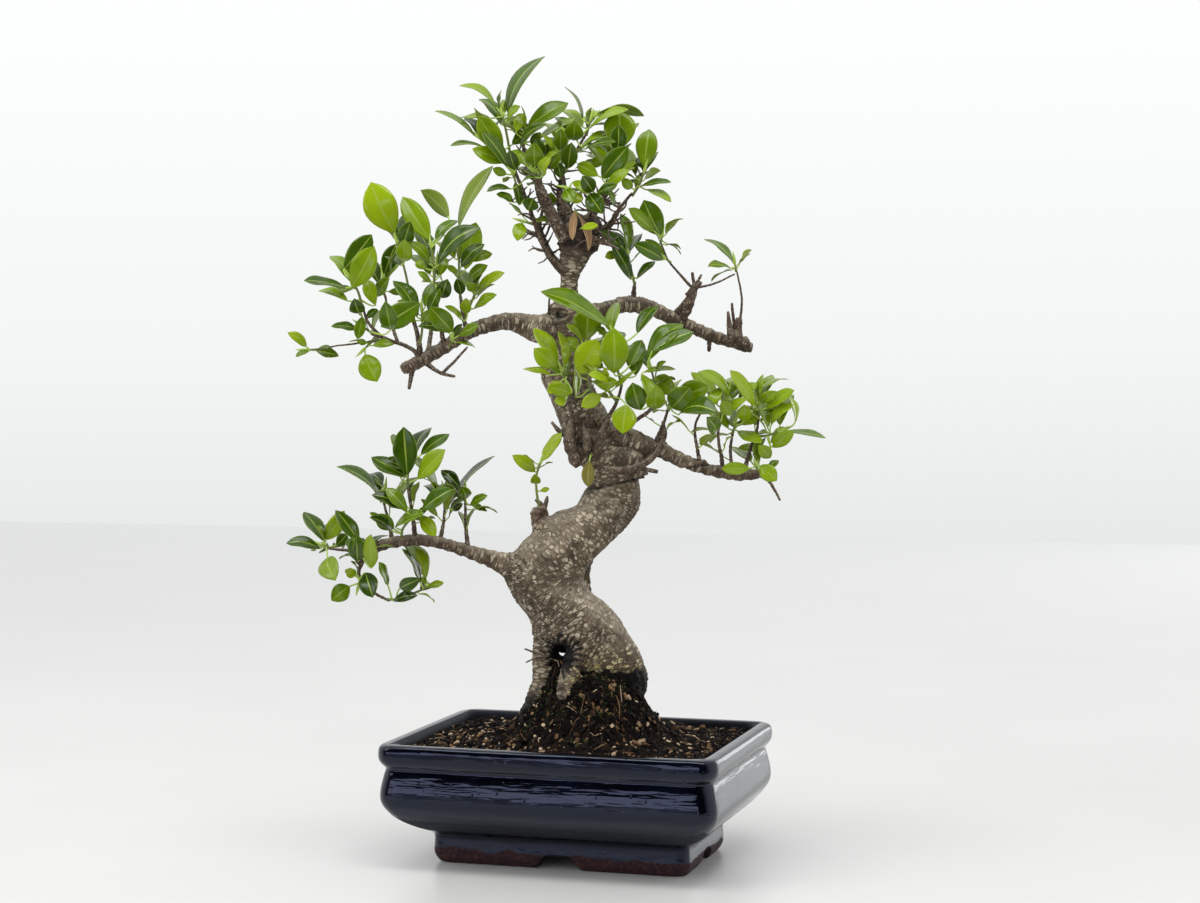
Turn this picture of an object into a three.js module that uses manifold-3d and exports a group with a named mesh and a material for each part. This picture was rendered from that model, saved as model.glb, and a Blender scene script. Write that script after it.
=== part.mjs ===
// A banyan (fig) bonsai in a glazed rectangular pot. Millimetres, +Z up.
import * as THREE from 'three';
import { mergeVertices } from 'three/addons/utils/BufferGeometryUtils.js';
import Module from 'manifold-3d';

const wasm = await Module();
wasm.setup();
const { Manifold, Mesh: SolidMesh } = wasm;

// Driving dimensions of the pot
const POT_LENGTH = 268;
const POT_WIDTH = 196;
const POT_HEIGHT = 96;
const RIM_WALL = 13;
const BODY_WALL = 10;
const CORNER_RADIUS = 14;
const CORNER_STEPS = 3;
const FOOT_CORNER_RADIUS = 12;
const INNER_CORNER_RADIUS = 10;
const RECESS_CORNER_RADIUS = 8;
const FOOT_HEIGHT = 23;
const FOOT_INSET_LENGTH = 32;
const FOOT_INSET_WIDTH = 41;
const FOOT_WALL = 15;
const FOOT_TOP = 30;
const FLOOR_UNDERSIDE = 17;
const FLOOR_TOP = 28;
const NOTCH_HEIGHT = 11;
const NOTCH_BOTTOM = 52;
const NOTCH_TOP = 22;
const SIDE_NOTCH_BOTTOM = 44;
const SIDE_NOTCH_TOP = 20;
const DRAIN_RADIUS = 8;
const DRAIN_OFFSET = 55;
const DRAIN_MESH_SIZE = 25;
const DRAIN_MESH_THICKNESS = 1.2;
const DRAIN_MESH_OPENING = 8;
const DRAIN_MESH_PITCH = 10;

// Soil: level beside the rim and the mound that the roots stand on
const SOIL_EDGE = 86;
const MOUND_HEIGHT = 60;
const MOUND_RADIUS = 48;
const MOUND_STEEPNESS = 5;
const MOUND_CENTRE = [6, -5];
const SOIL_RINGS = [0.88, 0.72, 0.58, 0.47, 0.38, 0.28, 0.15, 0.04];
const SOIL_BUMP = 3;

// Tree: the plant's front is turned this far from the pot's front
const PLANT_TURN = THREE.MathUtils.degToRad(17.5);
const TRUNK_SIDES = 12;
const LIMB_SIDES = 8;
const TWIG_SIDES = 4;
const STEM_SIDES = 4;
const GAP = 0.35;

// Leaves and green stems
const LEAF_ASPECT = 0.46;
const LEAF_THICKNESS = 1.1;
const LEAF_FOLD = 0.22;
const LEAF_ARCH = 0.07;
const PETIOLE_RADIUS = 0.7;
const STEM_RADIUS = 1.1;
const STEM_TAPER = 0.3;
const CLEARANCE = 0.5;

// Detail flatter than this is merged into its neighbours, in leaves and soil and in wood
const SIMPLIFY = 0.2;
const WOOD_SIMPLIFY = 0.5;

// The room for the roots in the soil is wider than a gap by what that merging may move
const SOIL_ROOM = GAP + WOOD_SIMPLIFY;

// Colours and finishes
const MATERIALS = {
  glaze: new THREE.MeshStandardMaterial({ color: 0x1b2340, roughness: 0.18, metalness: 0 }),
  soil: new THREE.MeshStandardMaterial({ color: 0x241a13, roughness: 0.95, metalness: 0 }),
  bark: new THREE.MeshStandardMaterial({ color: 0x75695c, roughness: 0.85, metalness: 0 }),
  leaf: new THREE.MeshStandardMaterial({ color: 0x3f7f1c, roughness: 0.35, metalness: 0 }),
  young: new THREE.MeshStandardMaterial({ color: 0x86b01e, roughness: 0.4, metalness: 0 }),
  olive: new THREE.MeshStandardMaterial({ color: 0x8a7f2a, roughness: 0.6, metalness: 0 }),
  dead: new THREE.MeshStandardMaterial({ color: 0xa9805a, roughness: 0.8, metalness: 0 }),
  plastic: new THREE.MeshStandardMaterial({ color: 0x1c1c1c, roughness: 0.7, metalness: 0 }),
};

// Solids

function meshGeometry(vertices, triangles) {
  const geometry = new THREE.BufferGeometry();
  geometry.setAttribute('position', new THREE.Float32BufferAttribute(vertices.flat(), 3));
  geometry.setIndex(triangles.flat());
  return geometry;
}

function solidOf(geometry) {
  const bare = geometry.clone();
  bare.deleteAttribute('normal');
  bare.deleteAttribute('uv');
  const merged = mergeVertices(bare, 1e-4);
  return new Manifold(new SolidMesh({
    numProp: 3,
    vertProperties: new Float32Array(merged.attributes.position.array),
    triVerts: new Uint32Array(merged.index.array),
  }));
}

function geometryOf(solid) {
  const mesh = solid.getMesh();
  const geometry = new THREE.BufferGeometry();
  geometry.setAttribute('position', new THREE.BufferAttribute(new Float32Array(mesh.vertProperties), 3));
  geometry.setIndex(new THREE.BufferAttribute(new Uint32Array(mesh.triVerts), 1));
  geometry.computeVertexNormals();
  return geometry;
}

function largestBody(solid) {
  return solid.decompose().reduce((best, body) => (body.volume() > best.volume() ? body : best));
}

// A closed skin over a stack of loops that all have the same number of points
function loft(loops) {
  const count = loops[0].length;
  const vertices = loops.flat();
  const triangles = [];
  for (let ring = 0; ring + 1 < loops.length; ring += 1) {
    for (let k = 0; k < count; k += 1) {
      const a = ring * count + k;
      const b = ring * count + (k + 1) % count;
      triangles.push([a, b, b + count], [a, b + count, a + count]);
    }
  }
  const last = (loops.length - 1) * count;
  for (let k = 1; k + 1 < count; k += 1) {
    triangles.push([0, k + 1, k], [last, last + k, last + k + 1]);
  }
  return solidOf(meshGeometry(vertices, triangles));
}

function boxSolid(width, depth, height, x, y, z) {
  return solidOf(new THREE.BoxGeometry(width, depth, height).translate(x, y, z));
}

// Pot

// Rounded rectangle, inset from the pot's outline, counter-clockwise from above
function potLoop(insetLength, insetWidth, z, radius = CORNER_RADIUS) {
  const halfLength = POT_LENGTH / 2 - insetLength;
  const halfWidth = POT_WIDTH / 2 - insetWidth;
  const loop = [];
  for (let quarter = 0; quarter < 4; quarter += 1) {
    const signX = quarter === 0 || quarter === 3 ? 1 : -1;
    const signY = quarter < 2 ? 1 : -1;
    for (let step = 0; step <= CORNER_STEPS; step += 1) {
      const angle = (quarter + step / CORNER_STEPS) * Math.PI / 2;
      loop.push([
        signX * (halfLength - radius) + radius * Math.cos(angle),
        signY * (halfWidth - radius) + radius * Math.sin(angle),
        z,
      ]);
    }
  }
  return loop;
}

function buildPot() {
  // Outer profile: [inset along the length, inset along the width, height]
  const outer = [
    [FOOT_INSET_LENGTH + 4, FOOT_INSET_WIDTH + 4, 0],
    [FOOT_INSET_LENGTH - 1.5, FOOT_INSET_WIDTH - 1.5, 7],
    [FOOT_INSET_LENGTH, FOOT_INSET_WIDTH, FOOT_HEIGHT],
    [25, 29, 27.5],
    [16, 18, 33],
    [8.5, 9.5, 40],
    [3, 3, 50],
    [0.8, 0.8, 60],
    [1.6, 1.6, 69],
    [4.4, 4.4, 76],
    [3.2, 3.2, 79],
    [0.5, 0.5, 82],
    [0, 0, 87],
    [1, 1, 92.5],
    [3.5, 3.5, 95.5],
    [5, 5, POT_HEIGHT],
  ];
  const outerLoops = outer.map(([length, width, z]) => (
    potLoop(length, width, z, z < FOOT_TOP ? FOOT_CORNER_RADIUS : CORNER_RADIUS)));
  const innerWall = [
    [RIM_WALL - 1.5, POT_HEIGHT],
    [RIM_WALL, POT_HEIGHT - 1.5],
    [RIM_WALL + 0.5, 80],
    [BODY_WALL + 4, 60],
    [BODY_WALL + 9, 44],
    [BODY_WALL + 24, FLOOR_TOP],
  ];
  const innerLoops = innerWall.map(([inset, z]) => potLoop(inset, inset, z, INNER_CORNER_RADIUS));
  let pot = loft([...outerLoops, ...innerLoops]);

  // The recess inside the foot ring, then the notches that leave four corner feet
  const recess = [-1, FLOOR_UNDERSIDE].map((z) => (
    potLoop(FOOT_INSET_LENGTH + FOOT_WALL, FOOT_INSET_WIDTH + FOOT_WALL, z, RECESS_CORNER_RADIUS)));
  pot = pot.subtract(loft(recess));
  const notch = (bottom, top, length) => {
    const shape = new THREE.Shape([
      new THREE.Vector2(-bottom / 2, -1),
      new THREE.Vector2(bottom / 2, -1),
      new THREE.Vector2(top / 2, NOTCH_HEIGHT),
      new THREE.Vector2(-top / 2, NOTCH_HEIGHT),
    ]);
    return new THREE.ExtrudeGeometry(shape, { depth: length, bevelEnabled: false })
      .translate(0, 0, -length / 2).rotateX(Math.PI / 2);
  };
  pot = pot.subtract(solidOf(notch(NOTCH_BOTTOM, NOTCH_TOP, POT_WIDTH)));
  pot = pot.subtract(solidOf(notch(SIDE_NOTCH_BOTTOM, SIDE_NOTCH_TOP, POT_LENGTH).rotateZ(Math.PI / 2)));
  for (const side of [-1, 1]) {
    const drain = new THREE.CylinderGeometry(DRAIN_RADIUS, DRAIN_RADIUS, 30, 16);
    pot = pot.subtract(solidOf(drain.rotateX(Math.PI / 2).translate(side * DRAIN_OFFSET, 0, FLOOR_TOP - 10)));
  }
  return pot;
}

function buildDrainMesh(side) {
  const z = FLOOR_TOP + GAP + DRAIN_MESH_THICKNESS / 2;
  const x = side * DRAIN_OFFSET;
  let plate = boxSolid(DRAIN_MESH_SIZE, DRAIN_MESH_SIZE, DRAIN_MESH_THICKNESS, x, 0, z);
  for (const column of [-0.5, 0.5]) {
    for (const row of [-0.5, 0.5]) {
      plate = plate.subtract(boxSolid(
        DRAIN_MESH_OPENING, DRAIN_MESH_OPENING, 3,
        x + column * DRAIN_MESH_PITCH, row * DRAIN_MESH_PITCH, z));
    }
  }
  return plate;
}

// Soil

// Repeatable draw between 0 and 1 for a whole number, by a common linear congruential generator
const SEED = 41;
const WORD = 2 ** 32;
const SPREAD = 2654435761;
const MULTIPLIER = 1664525;
const INCREMENT = 1013904223;

function draw(number) {
  let state = (number * SPREAD + SEED) % WORD;
  for (let turn = 0; turn < 3; turn += 1) {
    state = (Math.imul(state, MULTIPLIER) + INCREMENT) >>> 0;
  }
  return state / WORD;
}

function moundHeight(x, y) {
  const reach = Math.hypot(x - MOUND_CENTRE[0], y - MOUND_CENTRE[1]) / MOUND_RADIUS;
  return MOUND_HEIGHT / (1 + reach ** MOUND_STEEPNESS);
}

function buildSoil(wood, drainMeshes) {
  const wall = [
    [BODY_WALL + 24, FLOOR_TOP + GAP],
    [BODY_WALL + 9, 44],
    [BODY_WALL + 4, 60],
    [RIM_WALL + 0.5, 80],
    [RIM_WALL + 0.4, SOIL_EDGE],
  ];
  const loops = wall.map(([inset, z]) => potLoop(inset + GAP, inset + GAP, z, INNER_CORNER_RADIUS));
  const edge = loops[loops.length - 1];
  const [centreX, centreY] = turned(MOUND_CENTRE);
  let number = 0;
  for (const share of SOIL_RINGS) {
    loops.push(edge.map(([x, y]) => {
      number += 1;
      const px = centreX + (x - centreX) * share;
      const py = centreY + (y - centreY) * share;
      const bump = SOIL_BUMP * (draw(number) - 0.5) * Math.min(1, 4 * (1 - share));
      const [plantX, plantY] = unturned([px, py]);
      return [px, py, SOIL_EDGE + moundHeight(plantX, plantY) + bump];
    }));
  }
  let soil = loft(loops).subtract(wood);
  for (const plate of drainMeshes) {
    const box = plate.boundingBox();
    const size = box.max[0] - box.min[0] + 2 * GAP;
    soil = soil.subtract(boxSolid(
      size, size, 2 * (DRAIN_MESH_THICKNESS + GAP),
      (box.min[0] + box.max[0]) / 2, 0, FLOOR_TOP + GAP));
  }
  return largestBody(soil.asOriginal().simplify(SIMPLIFY));
}

// Between the plant's frame and the pot's frame, in plan
function turned([x, y]) {
  return [
    x * Math.cos(PLANT_TURN) - y * Math.sin(PLANT_TURN),
    x * Math.sin(PLANT_TURN) + y * Math.cos(PLANT_TURN),
  ];
}

function unturned([x, y]) {
  return [
    x * Math.cos(PLANT_TURN) + y * Math.sin(PLANT_TURN),
    -x * Math.sin(PLANT_TURN) + y * Math.cos(PLANT_TURN),
  ];
}

// Wood. The plant's own frame: x to the right, y away from the front, z up from the ground.

// Trunk sections: [height, left edge, right edge, middle in depth, half depth]
const TRUNK = [
  [70, 2, 42, 2, 20],
  [110, -1, 47, 1, 23],
  [138, -4, 52.5, 0, 27],
  [150, -5, 50.5, -1, 29],
  [162, -7, 46, -2, 30],
  [172, -33, 40, -3, 31],
  [181, -36, 34.5, -3, 32],
  [190, -41, 28, -3, 32],
  [198, -47, 20, -3, 31],
  [206, -52, 10, -3, 30],
  [214, -56, 5, -3, 29],
  [222, -59, 5, -3, 29],
  [230, -56, 9.5, -3, 28],
  [238, -50, 15.5, -3, 28],
  [246, -44, 25, -2, 27],
  [254, -36, 34.5, -1, 26],
  [261, -31, 40.5, 0, 25],
  [267, -20, 45, 1, 24],
  [273, -3, 48, 2, 22],
  [281, 3, 49, 3, 21],
  [292, 9, 49, 3.5, 20],
  [303, 6, 48, 4, 20],
  [313, -4, 42, 4.5, 21],
  [325, -10, 34, 5, 21],
  [336, -14, 28, 6, 20],
  [346, -17, 23, 6.5, 19.5],
  [358, -22, 17, 7, 19],
  [370, -27.5, 11, 7, 18],
  [384, -28, 9, 7, 17.5],
  [398, -27, 9, 6, 17],
  [410, -24, 12, 5, 16.5],
  [420, -24, 12, 4.5, 15],
  [430, -20, 8, 4, 12],
  [437, -14, 2, 4, 9],
  [448, -13, 1, 3.5, 7.5],
  [460, -14, 6, 3, 9],
  [470, -13.5, 12, 2, 11],
  [480, -13, 17.5, 1, 14],
  [490, -14, 21, 0, 16],
  [498, -10, 16, 0, 11],
];

// Limbs that taper along a line: [x, y, z, radius] at each point
const ROOTS = [
  [[-12, -4, 194, 16], [-22, -6, 176, 12], [-27, -8, 158, 9.5], [-28, -10, 138, 9.5], [-34, -13, 116, 11],
    [-41, -17, 94, 9], [-47, -19, 74, 6]],
  [[4, -16, 178, 12], [-4, -25, 154, 8], [-10, -31, 132, 8], [-6, -36, 112, 8], [2, -42, 92, 7], [6, -46, 74, 5]],
  [[30, -4, 154, 18], [38, -8, 130, 12], [43, -12, 108, 9], [52, -15, 90, 7], [60, -17, 74, 5]],
  [[12, 16, 178, 14], [10, 30, 148, 11], [5, 42, 118, 10], [-3, 53, 92, 8], [-7, 59, 74, 5]],
  [[26, 14, 154, 16], [36, 31, 122, 11], [48, 43, 94, 8], [54, 49, 74, 5]],
];

const BRANCHES = [
  // Strand behind the waist, stub on the left shoulder, cut stubs and knots
  [[9, 14, 242, 8], [5, 18, 224, 5], [5, 19, 206, 5], [3, 15, 190, 8]],
  [[-22, -6, 250, 12], [-29, -8, 263, 8], [-30, -9, 274, 6]],
  [[30, -4, 308, 13], [42, -9, 311, 8], [52, -13, 305, 5]],
  [[38, -6, 303, 8], [52, -14, 298, 4.2]],
  [[2, -4, 332, 13], [-7, -12, 334, 9]],
  [[6, -8, 315, 9], [-4, -15, 313, 6]],
  [[10, -10, 326, 10], [14, -18, 330, 7]],
  // Upper left branch
  [[-2, 4, 402, 15], [-18, 2, 409, 12], [-31, -2, 411, 10.5], [-41, -4, 414.5, 8.5], [-52, -7, 417, 7],
    [-66, -10, 415, 6.2], [-83, -12, 409, 5.8], [-101, -13, 398, 5.4], [-118, -14, 388, 5], [-135, -14, 380, 4.5]],
  // Upper right branch
  [[-2, 6, 414, 12], [12, 9, 423, 8], [24, 12, 427, 6], [40, 16, 430, 6.8], [56, 18, 427.5, 6],
    [72, 20, 420, 5.6], [88, 22, 412.5, 5.2], [104, 24, 405.5, 5], [120, 26, 400, 4.6], [137, 28, 395, 4]],
  // Right branch
  [[18, 0, 324, 14], [34, -4, 328, 9], [50, -8, 322, 7.5], [64, -10, 317, 6.5], [91, -12, 305, 5.5],
    [121, -12, 298, 5], [141, -10, 298, 4]],
  // Lower left branch
  [[-34, -2, 218, 18], [-52, -5, 227, 11], [-66, -9, 233, 7], [-80, -12, 238, 5.5], [-107, -16, 247, 4.8],
    [-128, -18, 249, 4.6], [-149, -18, 246, 4.4], [-161, -16, 240, 3.6], [-171, -14, 231, 3]],
];

const TWIGS = [
  // Upper left
  [[-126, -14, 384, 3.2], [-129, -15, 366, 2]],
  [[-117, -14, 386, 3.2], [-106, -18, 378, 2.2], [-94, -20, 375, 1.6]],
  [[-104, -18, 377, 2.1], [-92, -22, 388, 1.5], [-84, -25, 397, 1.2]],
  [[-124, -14, 383, 3.7], [-121, -16, 398, 2.9], [-126, -18, 422, 2.1]],
  [[-121, -15, 388, 3.2], [-127, -12, 396, 2.4], [-144, -11, 403, 2.1], [-158, -9, 408, 1.6]],
  [[-146, -10, 404, 1.9], [-157, -9, 402, 1.4], [-184, -6, 399, 1], [-203, -4, 396, 0.9]],
  [[-101, -13, 394, 3.4], [-104, -22, 412, 2.4], [-108, -26, 438, 1.7]],
  [[-83, -12, 404, 3.5], [-87, -6, 418, 2.4], [-90, -2, 436, 1.7]],
  [[-116, -13, 387, 3.4], [-114, 4, 406, 2.4], [-112, 16, 430, 1.7]],
  [[-150, -10, 405, 2.1], [-160, -17, 417, 1.7], [-164, -20, 430, 1.3]],
  [[-138, -11, 401, 2.1], [-145, 2, 420, 1.7], [-150, 10, 440, 1.3]],
  [[-22, 0, 416, 1.9], [-21, -3, 436, 1]],
  // Upper right
  [[74, 21, 418, 4], [84, 18, 431, 2.9], [91, 16, 442, 2.4], [90, 15, 454, 1.8]],
  [[90, 16, 440, 2.1], [97, 17, 452, 1.4]],
  [[91, 16, 441, 1.9], [80, 12, 453, 1.4], [71, 8, 464, 1.2], [65, 6, 478, 1]],
  [[91, 16, 442, 1.8], [108, 20, 446, 1.2], [123, 24, 453, 1]],
  [[122, 26, 401, 2.9], [123, 24, 412, 2.1], [121, 22, 430, 1.4]],
  [[124, 26, 402, 2.4], [128, 29, 418, 1.7], [129, 30, 438, 1.2], [125, 28, 457, 1]],
  [[104, 24, 405, 3.2], [103, 25, 393, 2]],
  [[44, 16, 435, 3.2], [45, 14, 447, 1.6]],
  // Right
  [[138, -10, 298, 2.7], [147, -9, 293, 1.9], [156, -8, 278, 1.2]],
  [[112, -12, 299, 3], [110, -16, 314, 2.1], [108, -18, 328, 1.7], [110, -20, 345, 1.3]],
  [[128, -12, 298, 2.9], [132, -10, 314, 2.1], [138, -8, 330, 1.6], [140, -8, 345, 1.2]],
  [[121, -12, 298, 2.7], [118, -4, 312, 1.9], [120, 2, 330, 1.4]],
  [[95, -12, 303, 2.9], [92, -18, 318, 1.9], [90, -20, 334, 1.5], [96, -22, 350, 1.2]],
  [[60, -10, 318, 4], [63, -14, 330, 2.4], [67, -17, 340, 1.8], [70, -18, 350, 1.4]],
  // Middle, in front of the trunk
  [[0, -12, 336, 4.8], [-4, -24, 346, 2.7], [-6, -34, 358, 2], [-8, -40, 371, 1.4]],
  [[10, -14, 336, 4.4], [11, -26, 349, 2.4], [12, -36, 361, 1.7]],
  [[17, -12, 334, 4.4], [25, -22, 345, 2.6], [31, -30, 357, 1.9], [34, -34, 369, 1.4]],
  [[24, -6, 328, 5.2], [40, -16, 337, 2.7], [54, -22, 347, 2.1], [64, -24, 356, 1.5]],
  [[4, 20, 360, 4.8], [9, 33, 371, 2.6], [12, 42, 383, 1.7]],
  // Lower left
  [[-166, -15, 234, 2.6], [-169, -16, 221, 2], [-156, -20, 208, 1.7], [-146, -22, 203, 1.4]],
  [[-158, -16, 241, 2.6], [-178, -12, 241, 1.8], [-193, -8, 242, 1.3]],
  [[-143, -18, 247, 2.9], [-146, -14, 262, 1.9], [-150, -10, 278, 1.4]],
  [[-125, -18, 249, 3], [-127, -22, 268, 2.2], [-130, -26, 291, 1.5]],
  [[-107, -16, 247, 2.9], [-104, -12, 262, 1.8], [-103, -10, 274, 1.4]],
  [[-85, -13, 240, 3], [-87, -10, 260, 2], [-87, -8, 278, 1.4]],
  // Crown
  [[-8, 0, 454, 4.4], [-20, -4, 465, 3], [-27, -6, 478, 2.7], [-32, -8, 492, 2.4], [-38, -9, 510, 2.1],
    [-46, -8, 530, 1.8], [-50, -6, 544, 1.4]],
  [[-12, 0, 458, 3.6], [-21, 4, 472, 2.4], [-28, 6, 490, 2], [-26, 8, 505, 1.6]],
  [[-8, -6, 480, 6.4], [-18, -10, 497, 4.8], [-26, -12, 513, 4.3], [-30, -12, 526, 3.5]],
  [[-29, -11, 520, 2.7], [-35, -8, 538, 1.8], [-40, -4, 551, 1.4]],
  [[-6, 2, 488, 6.4], [-11, 4, 506, 4.3], [-13, 5, 519, 3], [-9, 6, 534, 2.2], [0, 5, 548, 1.8], [8, 5, 562, 1.4]],
  [[4, -2, 488, 5.6], [13, -8, 499, 3.6], [20, -10, 508, 2.4], [26, -12, 516, 1.6]],
  [[6, 2, 486, 6.4], [22, 4, 488, 3.8], [29, 5, 496, 2.7], [35, 4, 506, 2.1], [43, 2, 515, 1.5]],
  [[6, -6, 482, 4], [22, -14, 476, 2], [32, -18, 472, 1.2]],
  [[-4, 8, 488, 5.6], [-5, 24, 501, 3.2], [-8, 34, 516, 2.2], [-10, 40, 531, 1.6]],
  [[4, 8, 490, 4.8], [16, 24, 506, 2.7], [22, 34, 521, 1.8]],
];

// Hollow knot in the fork of the two upper branches: centre and half sizes
const KNOT_HOLE = { centre: [-15.5, -11, 421.5], halfSizes: [8, 7, 4.2] };

function ringFrames(points) {
  const places = points.map((point) => new THREE.Vector3(...point));
  const tangents = places.map((_, k) => {
    const before = places[Math.max(k - 1, 0)];
    const after = places[Math.min(k + 1, places.length - 1)];
    return after.clone().sub(before).normalize();
  });
  const start = Math.abs(tangents[0].y) < 0.9 ? new THREE.Vector3(0, 1, 0) : new THREE.Vector3(1, 0, 0);
  let side = start.cross(tangents[0]).normalize();
  return places.map((place, k) => {
    side = side.clone().addScaledVector(tangents[k], -side.dot(tangents[k])).normalize();
    return { place, tangent: tangents[k], side, other: tangents[k].clone().cross(side) };
  });
}

// A tapering limb with flat ends; grow makes it thicker and longer all round
function limb(points, sides, grow = 0) {
  const frames = ringFrames(points);
  frames[0].place.addScaledVector(frames[0].tangent, -grow);
  frames[frames.length - 1].place.addScaledVector(frames[frames.length - 1].tangent, grow);
  return loft(frames.map(({ place, side, other }, k) => {
    const radius = points[k][3] + grow;
    const ring = [];
    for (let step = 0; step < sides; step += 1) {
      const angle = step / sides * 2 * Math.PI;
      const point = place.clone()
        .addScaledVector(side, radius * Math.cos(angle))
        .addScaledVector(other, radius * Math.sin(angle));
      ring.push([point.x, point.y, point.z]);
    }
    return ring;
  }));
}

function trunkSolid(grow = 0) {
  return loft(TRUNK.map(([z, left, right, depth, halfDepth], row) => {
    const ring = [];
    const end = row === 0 ? -grow : row === TRUNK.length - 1 ? grow : 0;
    for (let step = 0; step < TRUNK_SIDES; step += 1) {
      const angle = step / TRUNK_SIDES * 2 * Math.PI;
      const flute = 1 + 0.03 * Math.sin(3 * angle + z / 17) + 0.025 * Math.sin(5 * angle - z / 11);
      ring.push([
        (left + right) / 2 + ((right - left) / 2 * flute + grow) * Math.cos(angle),
        depth + (halfDepth * flute + grow) * Math.sin(angle),
        z + end,
      ]);
    }
    return ring;
  }));
}

function buildWood(grow = 0) {
  const limbs = [
    ...ROOTS.map((points) => limb(points, LIMB_SIDES, grow)),
    ...BRANCHES.map((points) => limb(points, LIMB_SIDES, grow)),
    ...TWIGS.map((points) => limb(points, TWIG_SIDES, grow)),
  ];
  const hole = new THREE.IcosahedronGeometry(1, 1).scale(...KNOT_HOLE.halfSizes.map((half) => half - grow));
  return Manifold.union([trunkSolid(grow), ...limbs])
    .subtract(solidOf(hole.translate(...KNOT_HOLE.centre))).asOriginal().simplify(WOOD_SIMPLIFY);
}

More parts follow.
